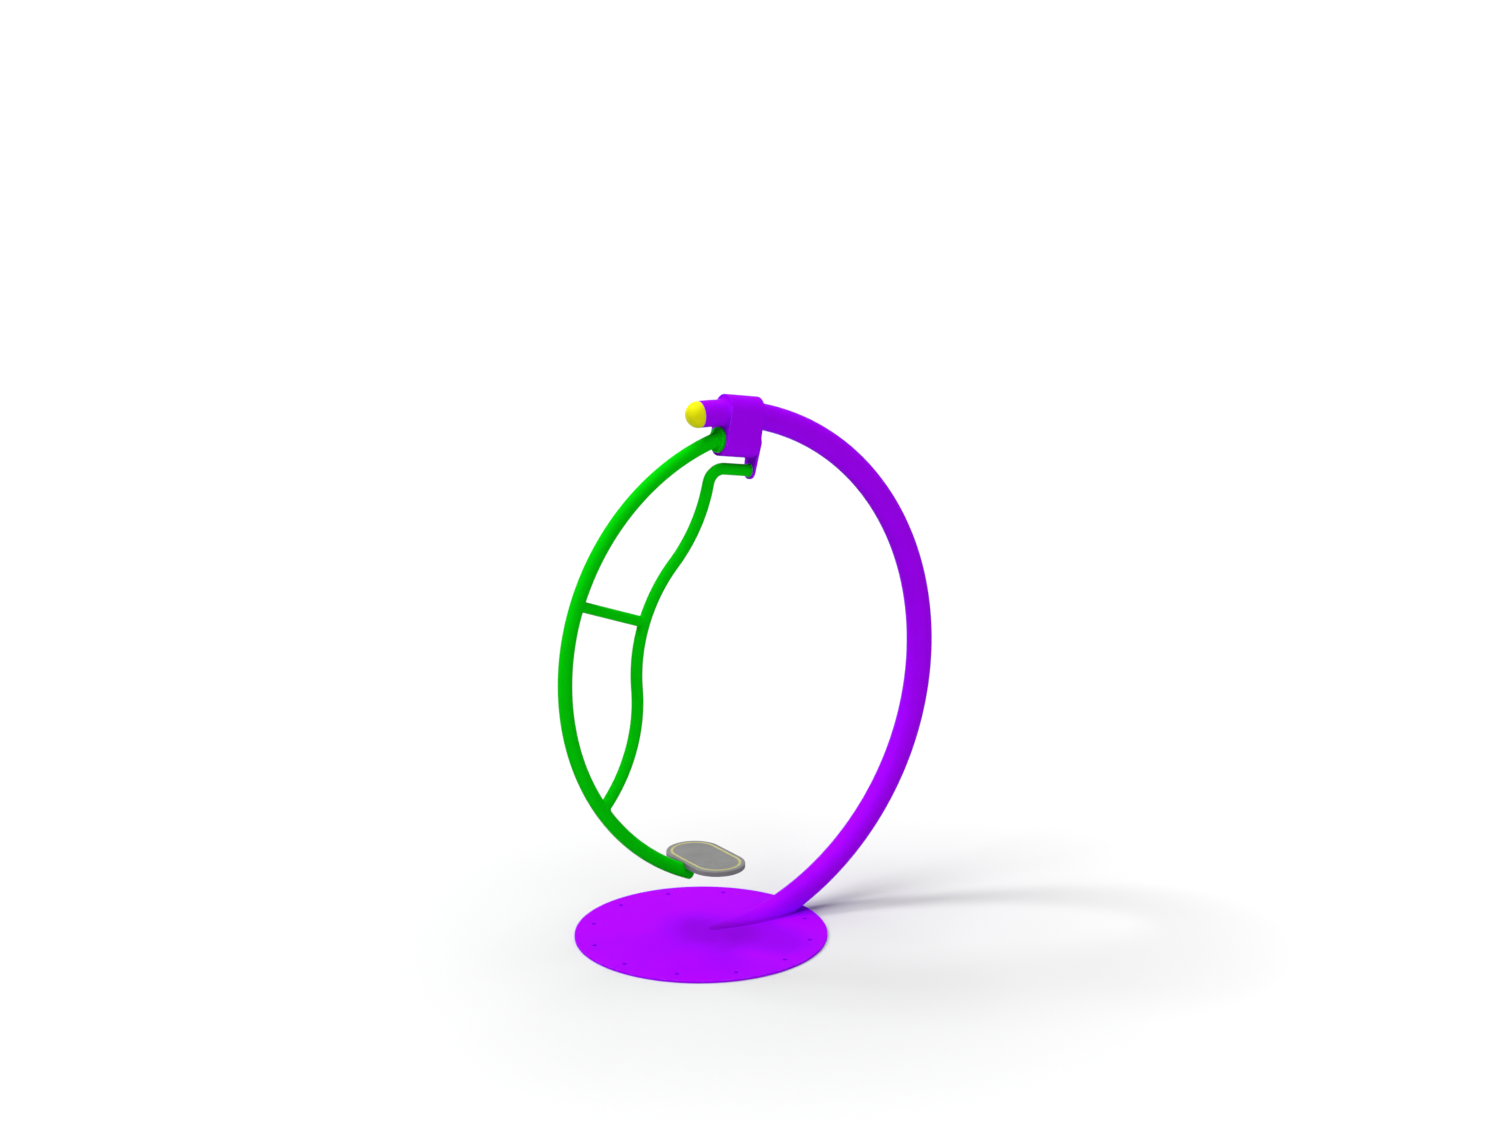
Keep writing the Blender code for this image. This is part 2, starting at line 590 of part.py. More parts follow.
def make_shaft(swing):
    """The shaft with its square tenon and threaded stud, the spacer on it and the pin that stops the swing."""
    tenon_end = PLATE_OUT - GAP
    stud_end = tenon_end + STUD_LENGTH
    left_end = HUB_IN - HUB_SOCKET + GAP
    shoulder = PLATE_IN - GAP
    stud = STUD_DIAMETER / 2
    profile = [
        (left_end, 0), (left_end, SHAFT_RADIUS), (shoulder, SHAFT_RADIUS), (shoulder, stud),
        (stud_end, stud), (stud_end, 0),
    ]
    shaft = add_object("pivot_shaft", revolution(bmesh.new(), profile, TURNED_SIDES, closed=False),
                       BEARING_STEEL, swing)
    square = box_outline(TENON_SIDE, TENON_SIDE, GAP, 1)
    tenon = extrusion(bmesh.new(), square, shoulder - SWING_PLATE_THICKNESS, tenon_end)
    boolean(shaft, add_object("shaft_tenon", tenon, parent=swing), "UNION")
    spacer_end = BEARING_IN - GAP
    profile = ring_profile(-spacer_end, spacer_end, INNER_BORE, SPACER_RADIUS)
    spacer = add_object("bearing_spacer", revolution(bmesh.new(), profile, TURNED_SIDES), ZINC, swing)
    pin_radius = STOP_PIN_DIAMETER / 2
    pin_end = WRAP_INNER_RADIUS - STOP_PIN_END
    pin = extrusion(bmesh.new(), circle(pin_radius, SMALL_SIDES), -pin_end, -STOP_PIN_ROOT, "Z")
    add_object("stop_pin", pin, BEARING_STEEL, swing)
    hole = extrusion(bmesh.new(), circle(pin_radius + GAP, SMALL_SIDES), -pin_end, -STOP_PIN_ROOT + GAP, "Z")
    cross_hole = add_object("stop_pin_hole", hole, parent=swing)
    boolean(shaft, cross_hole)
    boolean(spacer, cross_hole)


def make_hub(swing):
    """The flange that the hanger is welded to, with a socket for the shaft."""
    radius = HUB_DIAMETER / 2
    socket = HUB_IN - HUB_SOCKET
    profile = [
        (socket, 0), (socket, SHAFT_RADIUS + GAP), (HUB_IN, SHAFT_RADIUS + GAP), (HUB_IN, radius),
        (HUB_OUT + HUB_CHAMFER, radius), (HUB_OUT, radius - HUB_CHAMFER), (HUB_OUT, 0),
    ]
    add_object("hub_flange", revolution(bmesh.new(), profile, TURNED_SIDES, closed=False), GREEN_PAINT, swing)


def add_drill(name, radius, first, last, parent):
    """A cutter of round section along X, for a hole in a plate, nut or plug."""
    return add_object(name, rod(radius, first, last, TURNED_SIDES), parent=parent)


def make_swing_plate(swing, grip_seat):
    """The lever on the shaft's far end, and the fasteners and the plug that clamp it and the grip tube."""
    lower = GRIP_OUTER / 2 + SWING_PLATE_RIM
    outline = link_outline(-LEVER, lower, 0, SWING_PLATE_TOP_RADIUS)
    plate = add_object("swing_plate", extrusion(bmesh.new(), outline, PLATE_IN, PLATE_OUT), PURPLE_PAINT, swing)
    hole = box_outline(TENON_SIDE + 2 * GAP, TENON_SIDE + 2 * GAP, GAP, 1)
    cutter = extrusion(bmesh.new(), hole, HALF_HEAD, PLATE_OUT + SWING_PLATE_THICKNESS)
    boolean(plate, add_object("tenon_hole", cutter, parent=swing))
    washer_in = PLATE_OUT + GAP
    washer_out = washer_in + WASHER_THICKNESS
    nut_in = washer_out + GAP
    stud_bore = STUD_DIAMETER / 2 + GAP
    profile = ring_profile(washer_in, washer_out, stud_bore, stud_bore + WASHER_RIM)
    add_object("shaft_washer", revolution(bmesh.new(), profile, TURNED_SIDES), ZINC, swing)
    nut = add_object(
        "shaft_nut",
        extrusion(bmesh.new(), hexagon(SHAFT_NUT_FLATS), nut_in, nut_in + SHAFT_NUT_HEIGHT), ZINC, swing,
    )
    boolean(nut, add_drill("nut_bore", stud_bore, PLATE_OUT, nut_in + 2 * SHAFT_NUT_HEIGHT, swing))

    shank = GRIP_BOLT_DIAMETER / 2
    start, heading = grip_start()
    plug = TubePath(start, heading).run(GRIP_PLUG_LENGTH).tube(
        "grip_plug", GRIP_OUTER - 2 * GRIP_WALL - 2 * GAP, None, TUBE_SIDES, ZINC, swing
    )
    tap_end = PLATE_IN - GAP - GRIP_PLUG_LENGTH + GRIP_PLUG_FLOOR
    tap = add_drill("grip_tap", shank + GAP, tap_end, PLATE_OUT + shank, grip_seat)
    boolean(plug, tap)
    boolean(plate, tap)
    profile = ring_profile(washer_in, washer_out, shank + GAP, shank + GAP + WASHER_RIM)
    add_object("grip_washer", revolution(bmesh.new(), profile, TURNED_SIDES), ZINC, grip_seat)
    bolt = add_object(
        "grip_bolt",
        extrusion(bmesh.new(), hexagon(GRIP_BOLT_FLATS), nut_in, nut_in + GRIP_BOLT_HEAD), ZINC, grip_seat,
    )
    bolt_end = nut_in - GRIP_BOLT_LENGTH
    boolean(bolt, add_drill("grip_shank", shank, bolt_end, nut_in + shank, grip_seat), "UNION")


def make_frame(swing):
    """The green weldment: hanger, grip tube and cross brace. Returns the hanger's path."""
    hanger, bend = hanger_path()
    grip, middle = grip_path(bend)
    brace = brace_path(bend, middle)
    hanger_tube = hanger.tube("hanger_tube", HANGER_OUTER, HANGER_WALL, TUBE_SIDES, GREEN_PAINT, swing)
    face = HUB_OUT - GAP
    trim = extrusion(bmesh.new(), box_outline(HUB_DIAMETER * 2, HUB_DIAMETER * 2, GAP, 1), face, HALF_HEAD)
    boolean(hanger_tube, add_object("hub_face_cut", trim, parent=swing))
    hanger_space = hanger.envelope("hanger_space", HANGER_OUTER, GAP, TUBE_SIDES, swing)
    grip_tube = grip.tube("grip_tube", GRIP_OUTER, GRIP_WALL, TUBE_SIDES, GREEN_PAINT, swing)
    boolean(grip_tube, hanger_space)
    brace_tube = brace.tube("cross_brace", BRACE_OUTER, BRACE_WALL, TUBE_SIDES, GREEN_PAINT, swing)
    boolean(brace_tube, hanger_space)
    boolean(brace_tube, grip.envelope("grip_space", GRIP_OUTER, GAP, TUBE_SIDES, swing))
    plug_start = hanger.end - (END_PLUG_INSET + END_PLUG_THICKNESS) * heading_way(hanger.heading)
    plug_diameter = HANGER_OUTER - 2 * HANGER_WALL - 2 * GAP
    plug = TubePath(plug_start, hanger.heading).run(END_PLUG_THICKNESS)
    plug.tube("hanger_end_plug", plug_diameter, None, TUBE_SIDES, BLACK_RUBBER, swing)
    return hanger, hanger_space


def make_footboard(swing, hanger, hanger_space):
    """The board with its routed line, the plate under it and the four bolts that hold it from below."""
    centre_x = hanger.end.x + BOARD_REACH
    mount_bottom = hanger.end.z + HANGER_OUTER / 2 - MOUNT_SINK
    mount_top = mount_bottom + MOUNT_THICKNESS
    bottom = mount_top + GAP
    top = bottom + BOARD_THICKNESS

    def placed(outline):
        return [(x + centre_x, y) for x, y in outline]

    def obround(inset):
        half = (BOARD_LENGTH - BOARD_WIDTH) / 2
        radius = BOARD_WIDTH / 2 - inset
        return placed(link_outline(-half, radius, half, radius))

    board = add_object("footboard", extrusion(bmesh.new(), obround(0), bottom, top, "Z"),
                       GREY_BOARD, swing, keep_place=True)
    bevel(board, BOARD_EDGE_ROUND, 2)
    line = add_object("line_cutter", extrusion(bmesh.new(), obround(GROOVE_INSET), top - GROOVE_DEPTH,
                                               top + GROOVE_DEPTH, "Z"), None, swing, keep_place=True)
    island = add_object("line_island", extrusion(bmesh.new(), obround(GROOVE_INSET + GROOVE_WIDTH), bottom,
                                                 top + BOARD_THICKNESS, "Z"), None, swing, keep_place=True)
    boolean(line, island)
    boolean(board, line)
    boolean(board, hanger.envelope("board_scallop", HANGER_OUTER, SCALLOP_GAP, TUBE_SIDES, swing))

    outline = placed(box_outline(MOUNT_LENGTH, MOUNT_WIDTH, MOUNT_CORNER))
    mount = add_object("footboard_mount", extrusion(bmesh.new(), outline, mount_bottom, mount_top, "Z"),
                       GREEN_PAINT, swing, keep_place=True)
    boolean(mount, hanger_space)

    radius = BOLT_DIAMETER / 2
    seat = mount_bottom - GAP
    tapped = bmesh.new()
    for k, (sx, sy) in enumerate([(-1, -1), (1, -1), (1, 1), (-1, 1)], 1):
        spot = (centre_x + sx * BOLT_SPACING_X / 2, sy * BOLT_SPACING_Y / 2)

        def at_spot(outline):
            return [(x + spot[0], y + spot[1]) for x, y in outline]

        extrusion(tapped, at_spot(circle(radius + GAP, SMALL_SIDES)), seat, bottom + BOLT_DEPTH + GAP, "Z")
        flange_bottom = seat - BOLT_FLANGE_THICKNESS
        flange = extrusion(bmesh.new(), at_spot(circle(BOLT_FLANGE / 2, SMALL_SIDES)), flange_bottom, seat, "Z")
        bolt = add_object(f"footboard_bolt_{k}", flange, ZINC, swing, keep_place=True)
        shank = extrusion(bmesh.new(), at_spot(circle(radius, SMALL_SIDES)),
                          seat - BOLT_FLANGE_THICKNESS / 2, bottom + BOLT_DEPTH, "Z")
        boolean(bolt, add_object(f"bolt_shank_{k}", shank, None, swing, keep_place=True), "UNION")
        head = extrusion(bmesh.new(), at_spot(hexagon(BOLT_FLATS)),
                         flange_bottom - BOLT_HEAD, flange_bottom + BOLT_FLANGE_THICKNESS / 2, "Z")
        boolean(bolt, add_object(f"bolt_head_{k}", head, None, swing, keep_place=True), "UNION")
    taps = add_object("bolt_taps", tapped, None, swing, keep_place=True)
    boolean(board, taps)
    boolean(mount, taps)


def main():
    for obj in list(bpy.data.objects):
        bpy.data.objects.remove(obj)
    turn = (0, HEAD_ANGLE, 0)
    head = add_empty("bearing_head", PIVOT, turn)
    swing = add_empty("swing_axis", PIVOT, turn)
    cages = add_empty("cage_axis", PIVOT, turn)
    grip_seat = add_empty("grip_seat", PIVOT - LEVER * OUTWARD, turn)
    bpy.context.view_layer.update()
    plate = make_base_plate()
    post = make_post(plate)
    make_head(head, post.envelope("post_space", POST_OUTER, GAP, POST_SIDES, plate))
    make_bearings(head, swing, cages)
    make_seals_and_rings(head, swing)
    make_shaft(swing)
    make_hub(swing)
    make_swing_plate(swing, grip_seat)
    hanger, hanger_space = make_frame(swing)
    make_footboard(swing, hanger, hanger_space)


main()
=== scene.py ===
"""Looks of a stand-on playground pendulum.

A bent post on a round ground plate carries a tilted bearing head. A frame of bent tube hangs from the
head's shaft and swings from side to side, with a footboard at its lower end. Every shape is laid round
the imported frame, in metres, with +Z up and the bends in the plane Y = 0.
"""

from __future__ import annotations

import json
import logging
import math
from collections.abc import Callable, Mapping, Sequence
from dataclasses import dataclass, field, replace
from enum import Enum
from functools import cached_property
from typing import Any

import bmesh
import bpy
import numpy as np
from numpy.typing import NDArray
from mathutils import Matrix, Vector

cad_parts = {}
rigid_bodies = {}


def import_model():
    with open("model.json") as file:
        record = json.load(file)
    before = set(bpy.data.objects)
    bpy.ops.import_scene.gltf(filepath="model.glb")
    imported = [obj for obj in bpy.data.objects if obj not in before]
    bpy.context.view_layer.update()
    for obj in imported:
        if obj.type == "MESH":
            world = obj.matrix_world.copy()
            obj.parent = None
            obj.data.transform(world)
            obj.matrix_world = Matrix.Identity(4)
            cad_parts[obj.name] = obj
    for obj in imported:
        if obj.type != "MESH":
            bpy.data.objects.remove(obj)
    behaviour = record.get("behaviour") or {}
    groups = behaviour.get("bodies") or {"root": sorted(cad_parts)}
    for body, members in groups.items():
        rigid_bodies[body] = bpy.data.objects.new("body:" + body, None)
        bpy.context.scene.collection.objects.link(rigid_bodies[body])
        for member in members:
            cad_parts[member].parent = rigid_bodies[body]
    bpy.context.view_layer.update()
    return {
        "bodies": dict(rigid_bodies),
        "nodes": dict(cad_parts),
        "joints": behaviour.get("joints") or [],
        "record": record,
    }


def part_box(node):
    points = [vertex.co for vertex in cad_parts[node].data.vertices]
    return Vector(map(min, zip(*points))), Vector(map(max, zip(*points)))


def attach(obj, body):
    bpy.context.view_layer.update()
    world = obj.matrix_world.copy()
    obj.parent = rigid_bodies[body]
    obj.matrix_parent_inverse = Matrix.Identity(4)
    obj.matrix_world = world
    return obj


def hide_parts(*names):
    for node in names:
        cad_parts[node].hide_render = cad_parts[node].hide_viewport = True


log = logging.getLogger("pendulum")

Array = NDArray[np.float64]
Colour = tuple[float, float, float, float]
Span = tuple[float, float]
Gap = Callable[[Array], Array]   # distance of places from a surface, positive outside it

MERGE = 2e-6                 # points closer than this are one point
SHARP = math.radians(36)     # edges that turn more than this stay crisp
WELD_GAP = 0.0003            # between pieces that are welded or lie on each other
SINK = 0.0008                # of a trimmed tube end into the tube it is welded to
EDGE_WEAR = 0.35             # the least wear on a rounded edge, where the most is 1
CALM_SHARE = 0.3             # how far wear runs on from a rounded edge, to the middle of a side
HALVINGS = 44                # in the search for the place where a tube meets a surface
SEARCH_STEPS = 400           # in the search for the place where two tubes cross
LATE = 0.8                   # share of a tube's length that is clear of what its last end meets
BOLT_SIDES = 72              # of nuts, bolts, washers and plugs
HEX_RING = 0.94              # share of a hexagon's width within which its face is flat
HEX_CONE = math.radians(30)  # slope of the cone that takes off a hexagon's corners
ACROSS = np.array([0.0, 1.0, 0.0])


class Body(Enum):
    """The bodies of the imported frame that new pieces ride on."""

    STAND = "stand"
    SWING = "swing_frame"


class Side(Enum):
    """The two ends of the bearing head, as signs along the shaft."""

    LEFT = -1
    RIGHT = 1

    @property
    def label(self) -> str:
        """The end's name, as the names of nodes and pieces have it."""
        return self.name.lower()


def screen_colour(red: float, green: float, blue: float) -> Colour:
    """The linear colour of a screen colour given as 0 to 255.

    Args:
        red, green, blue: The parts of the screen colour.

    Returns:
        The linear parts and an alpha of 1, from the standard curve with its straight toe.
    """
    part = np.array([red, green, blue]) / 255.0
    linear = np.where(part <= 0.04045, part / 12.92, ((part + 0.055) / 1.055) ** 2.4)
    return (*map(float, linear), 1.0)


def shade(colour: Colour, share: float) -> Colour:
    """A colour with every part multiplied by a share, and no part above 1."""
    return (*(min(1.0, part * share) for part in colour[:3]), 1.0)


def grey(level: float) -> Colour:
    """A linear grey of that level."""
    return (level, level, level, 1.0)


class Wire:
    """An output socket of a shader, whose arithmetic adds Math nodes."""

    def __init__(self, shader: Shader, socket: bpy.types.NodeSocket) -> None:
        """Keeps the shader and the socket that this wire leaves."""
        self.shader = shader
        self.socket = socket

    def _math(self, operation: str, *values: Wire | float, clamp: bool = False) -> Wire:
        """One Math node on the given values."""
        settings = {"operation": operation, "use_clamp": clamp}
        return self.shader.node("ShaderNodeMath", settings, dict(enumerate(values)))

    def __add__(self, other: Wire | float) -> Wire:
        """This value plus another."""
        return self._math("ADD", self, other)

    def __radd__(self, other: float) -> Wire:
        """A number plus this value."""
        return self._math("ADD", other, self)

    def __sub__(self, other: Wire | float) -> Wire:
        """This value less another."""
        return self._math("SUBTRACT", self, other)

    def __rsub__(self, other: float) -> Wire:
        """A number less this value."""
        return self._math("SUBTRACT", other, self)

    def __mul__(self, other: Wire | float) -> Wire:
        """This value times another."""
        return self._math("MULTIPLY", self, other)

    def __rmul__(self, other: float) -> Wire:
        """A number times this value."""
        return self._math("MULTIPLY", other, self)

    def smaller(self, other: Wire | float) -> Wire:
        """The smaller of this value and another."""
        return self._math("MINIMUM", self, other)

    def blend(self, other: Wire, share: float) -> Wire:
        """A share of this value plus the rest of another."""
        return self * share + other * (1.0 - share)

    def ease(self, low: float, high: float) -> Wire:
        """0 below low, 1 above high, and a smooth step between them."""
        sockets = {"Value": self, "From Min": low, "From Max": high}
        return self.shader.node("ShaderNodeMapRange", {"interpolation_type": "SMOOTHSTEP"}, sockets)


@dataclass(frozen=True)
class Grain:
    """A noise pattern: features to the metre, levels of finer detail, their strength and a stretch."""

    scale: float
    detail: float = 2.0
    rough: float = 0.5
    stretch: tuple[float, float, float] | None = None


class Shader:
    """The node tree of a material or a world."""

    def __init__(self, owner: bpy.types.Material | bpy.types.World) -> None:
        """Turns on the owner's nodes and keeps its tree.

        Args:
            owner: The material or the world.
        """
        owner.use_nodes = True
        self.owner = owner
        self.tree = owner.node_tree

    def feed(self, socket: bpy.types.NodeSocket, value: Any) -> None:
        """Links a wire to a socket, or sets the socket's own value.

        Args:
            socket: The input.
            value: A wire, or a value of the socket's own kind.
        """
        if isinstance(value, Wire):
            self.tree.links.new(value.socket, socket)
        else:
            socket.default_value = value

    def node(
        self,
        kind: str,
        settings: Mapping[str, Any] | None = None,
        sockets: Mapping[str | int, Any] | None = None,
        out: str | int = 0,
    ) -> Wire:
        """Adds one node.

        Args:
            kind: The node's type.
            settings: Its settings, which are set first.
            sockets: A value or wire for each input, by name or place.
            out: The output that the wire leaves.

        Returns:
            The wire from that output.
        """
        made = self.tree.nodes.new(kind)
        for key, value in (settings or {}).items():
            setattr(made, key, value)
        for key, value in (sockets or {}).items():
            self.feed(made.inputs[key], value)
        return Wire(self, made.outputs[out])

    def dress(self, kind: str, sockets: Mapping[str, Any]) -> None:
        """Feeds the inputs of the tree's own node of a kind, such as its main shader.

        Args:
            kind: The node's type.
            sockets: A value or wire for each input, by name.
        """
        main = next(node for node in self.tree.nodes if node.bl_idname == kind)
        for key, value in sockets.items():
            self.feed(main.inputs[key], value)

    @cached_property
    def places(self) -> Wire:
        """The piece's own coordinates in metres."""
        return self.node("ShaderNodeTexCoord", out="Object")

    def noise(self, grain: Grain) -> Wire:
        """A noise pattern over the piece.

        Args:
            grain: The pattern's values.

        Returns:
            The noise, which lies between 0 and 1.
        """
        places = self.places
        if grain.stretch:
            places = self.node("ShaderNodeMapping", None, {"Vector": places, "Scale": grain.stretch})
        sockets = {"Vector": places, "Scale": grain.scale, "Detail": grain.detail, "Roughness": grain.rough}
        return self.node("ShaderNodeTexNoise", None, sockets)

    def cells(self, scale: float) -> Wire:
        """Distance from the middles of round cells, that many to the metre."""
        sockets = {"Vector": self.places, "Scale": scale}
        return self.node("ShaderNodeTexVoronoi", {"feature": "SMOOTH_F1"}, sockets, "Distance")

    def mix(self, share: Wire | float, first: Wire | Colour, second: Wire | Colour) -> Wire:
        """A colour between two, by a share from 0 to 1. The node's colours are its sockets 6, 7 and 2."""
        return self.node("ShaderNodeMix", {"data_type": "RGBA"}, {0: share, 6: first, 7: second}, 2)

    def edge(self) -> Wire:
        """How near a rounded edge is, from the piece's own attribute: 0 on faces, 1 on edges."""
        return self.node("ShaderNodeAttribute", {"attribute_name": "edge"}, out="Fac")

    def bump(self, height: Wire, strength: float, distance: float) -> Wire:
        """A normal bent by a height in shares of a distance in metres."""
        sockets = {"Height": height, "Strength": strength, "Distance": distance}
        return self.node("ShaderNodeBump", None, sockets)


@dataclass(frozen=True)
class Finish:
    """A surface finish: its name, the record's slot that it stands for, and its main values.

    In the finishes, steps are the values between which a pattern comes in, tints are shares of the
    colour, dull and sheen add to the roughness and take from it, and relief is a bump's strength and
    its depth in metres.
    """

    name: str
    slot: str
    colour: Colour
    roughness: float

    def material(self) -> bpy.types.Material:
        """The finish's material, made on first use.

        Returns:
            The one material that all pieces with this finish share.
        """
        found = bpy.data.materials.get(self.name)
        if found:
            return found
        shader = Shader(bpy.data.materials.new(self.name))
        shader.dress("ShaderNodeBsdfPrincipled", self.sockets(shader))
        return shader.owner

    def uneven(self, shader: Shader, pattern: Wire, tints: Span, steps: Span = (0.3, 0.7)) -> Wire:
        """The colour between two shares of itself, as a pattern steps from low to high."""
        low, high = (shade(self.colour, tint) for tint in tints)
        return shader.mix(pattern.ease(*steps), low, high)

    def sockets(self, shader: Shader) -> dict[str, Any]:
        """The main shader's inputs, by name."""
        raise NotImplementedError


@dataclass(frozen=True)
class PowderCoat(Finish):
    """Satin powder coat on steel: fine orange peel, uneven film and edges rubbed a little pale."""

    film: Grain = Grain(14.0, 4.0, 0.6)
    film_steps: Span = (0.30, 0.72)
    film_tints: Span = (0.965, 1.02)
    film_dull: float = 0.10
    rub: Grain = Grain(55.0, 6.0, 0.65)
    rub_share: float = 0.55
    rub_steps: Span = (0.66, 0.82)
    rubbed: float = 0.32
    rubbed_pale: float = 0.22
    rubbed_dull: float = 0.18
    peel: Grain = Grain(380.0, 1.5)
    peel_share: float = 0.8
    grit: Grain = Grain(1500.0, 1.0)
    relief: Span = (0.22, 0.0006)
    gleam: float = 0.004

    def sockets(self, shader: Shader) -> dict[str, Any]:
        """Rubbed edges over an uneven film, and a bump of peel and grit.

        Args:
            shader: The shader that takes the nodes.

        Returns:
            The main shader's inputs, by name.
        """
        film = shader.noise(self.film)
        worn = shader.noise(self.rub).blend(shader.edge(), self.rub_share).ease(*self.rub_steps)
        peel = shader.noise(self.peel).blend(shader.noise(self.grit), self.peel_share)
        even = self.uneven(shader, film, self.film_tints, self.film_steps)
        return {
            "Base Color": shader.mix(worn * self.rubbed, even, self.pale),
            "Roughness": self.roughness + film * self.film_dull + worn * self.rubbed_dull,
            "Normal": shader.bump(peel, *self.relief),
            "Specular IOR Level": self.gleam,
        }

    @property
    def pale(self) -> Colour:
        """The rubbed tint: the coat's colour part of the way to white."""
        return (*(part + self.rubbed_pale * (1.0 - part) for part in self.colour[:3]), 1.0)


@dataclass(frozen=True)
class PaintedShadeCoat(PowderCoat):
    """Powder coat with painted shade over its last millimetres above the plate: its colour goes dark
    towards the plate, for the shade in the crease where the post meets it.
    """

    # painted shade of the crease: the heights over which it fades out, its share at the plate and its tint
    shade_heights: Span = (0.0110, 0.0240)
    dirt: float = 0.30
    darkening_tint: float = 0.15

    def sockets(self, shader: Shader) -> dict[str, Any]:
        """The coat's own inputs, with painted shade: a colour that goes dark towards the plate.

        Args:
            shader: The shader that takes the nodes.

        Returns:
            The main shader's inputs, by name.
        """
        found = super().sockets(shader)
        height = shader.node("ShaderNodeSeparateXYZ", None, {0: shader.places}, "Z")
        # painted shade: the colour goes dark below these heights, where the crease's shade falls
        dirty = (1.0 - height.ease(*self.shade_heights)) * self.dirt
        painted_shade_colour = shade(self.colour, self.darkening_tint)
        return found | {"Base Color": shader.mix(dirty, found["Base Color"], painted_shade_colour)}


@dataclass(frozen=True)
class MouldedPlastic(Finish):
    """Moulded plastic with a spark-eroded grain and slight flow marks."""

    flow: Grain = Grain(26.0, 3.0)
    flow_tints: Span = (0.94, 1.02)
    flow_dull: float = 0.12
    grain: Grain = Grain(900.0)
    relief: Span = (0.18, 0.0004)
    gleam: float = 0.06

    def sockets(self, shader: Shader) -> dict[str, Any]:
        """Flow marks in the colour and the gloss, and a bump of fine grain.

        Args:
            shader: The shader that takes the nodes.

        Returns:
            The main shader's inputs, by name.
        """
        flow = shader.noise(self.flow)
        return {
            "Base Color": self.uneven(shader, flow, self.flow_tints),
            "Roughness": self.roughness + flow * self.flow_dull,
            "Normal": shader.bump(shader.noise(self.grain), *self.relief),
            "Specular IOR Level": self.gleam,
        }


@dataclass(frozen=True)
class GrainedBoard(Finish):
    """Coloured-through polyethylene sheet with a pebbled face, fine flecks and shoe scuffs."""

    pebble_scale: float = 420.0
    pebble_share: float = 0.8
    relief: Span = (0.35, 0.0008)
    gleam: float = 0.06
    fleck: Grain = Grain(900.0)
    fleck_steps: Span = (0.62, 0.72)
    flecked: float = 0.35
    fleck_tint: float = 1.45
    patch: Grain = Grain(18.0, 4.0)
    patch_tints: Span = (0.93, 1.05)
    patch_steps: Span = (0.45, 0.62)
    drag: Grain = Grain(1.0, 5.0, 0.6, (90.0, 14.0, 30.0))
    drag_steps: Span = (0.60, 0.76)
    scuffed: float = 0.30
    scuff_tint: float = 1.5
    scuff_dull: float = 0.15
    worn_steps: Span = (0.60, 0.80)
    worn: float = 0.35
    worn_sheen: float = 0.10

    def sockets(self, shader: Shader) -> dict[str, Any]:
        """Flecks, scuffs and worn edges over the sheet's colour, and a bump of pebbles.

        Args:
            shader: The shader that takes the nodes.

        Returns:
            The main shader's inputs, by name.
        """
        patches, drag = shader.noise(self.patch), shader.noise(self.drag)
        flecks = shader.noise(self.fleck).ease(*self.fleck_steps)
        scuffs = drag.ease(*self.drag_steps) * patches.ease(*self.patch_steps)
        worn = shader.edge().blend(patches, 0.5).ease(*self.worn_steps)
        even = self.uneven(shader, patches, self.patch_tints)
        specked = shader.mix(flecks * self.flecked, even, shade(self.colour, self.fleck_tint))
        marks = scuffs * self.scuffed + worn * self.worn
        pebbles = shader.cells(self.pebble_scale).blend(drag, self.pebble_share)
        return {
            "Base Color": shader.mix(marks, specked, shade(self.colour, self.scuff_tint)),
            "Roughness": self.roughness + scuffs * self.scuff_dull - worn * self.worn_sheen,
            "Normal": shader.bump(pebbles, *self.relief),
            "Specular IOR Level": self.gleam,
        }


@dataclass(frozen=True)
class RoutedCore(Finish):
    """The sheet's core colour where a cutter has laid it bare, with the cutter's fine steps."""

    cutter: Grain = Grain(700.0, 1.0, stretch=(1.0, 1.0, 6.0))
    relief: Span = (0.2, 0.0003)
    # the core's own dirt, in a random pattern
    dirt: Grain = Grain(60.0, 5.0)
    dirt_steps: Span = (0.50, 0.75)
    dirty: float = 0.35
    darkening_tint: float = 0.55
    dirt_dull: float = 0.15

    def sockets(self, shader: Shader) -> dict[str, Any]:
        """Dirt over the core's colour, and a bump of the cutter's steps.

        Args:
            shader: The shader that takes the nodes.

        Returns:
            The main shader's inputs, by name.
        """
        dirt = shader.noise(self.dirt).ease(*self.dirt_steps)
        return {
            "Base Color": shader.mix(dirt * self.dirty, self.colour, shade(self.colour, self.darkening_tint)),
            "Roughness": self.roughness + dirt * self.dirt_dull,
            "Normal": shader.bump(shader.noise(self.cutter), *self.relief),
        }


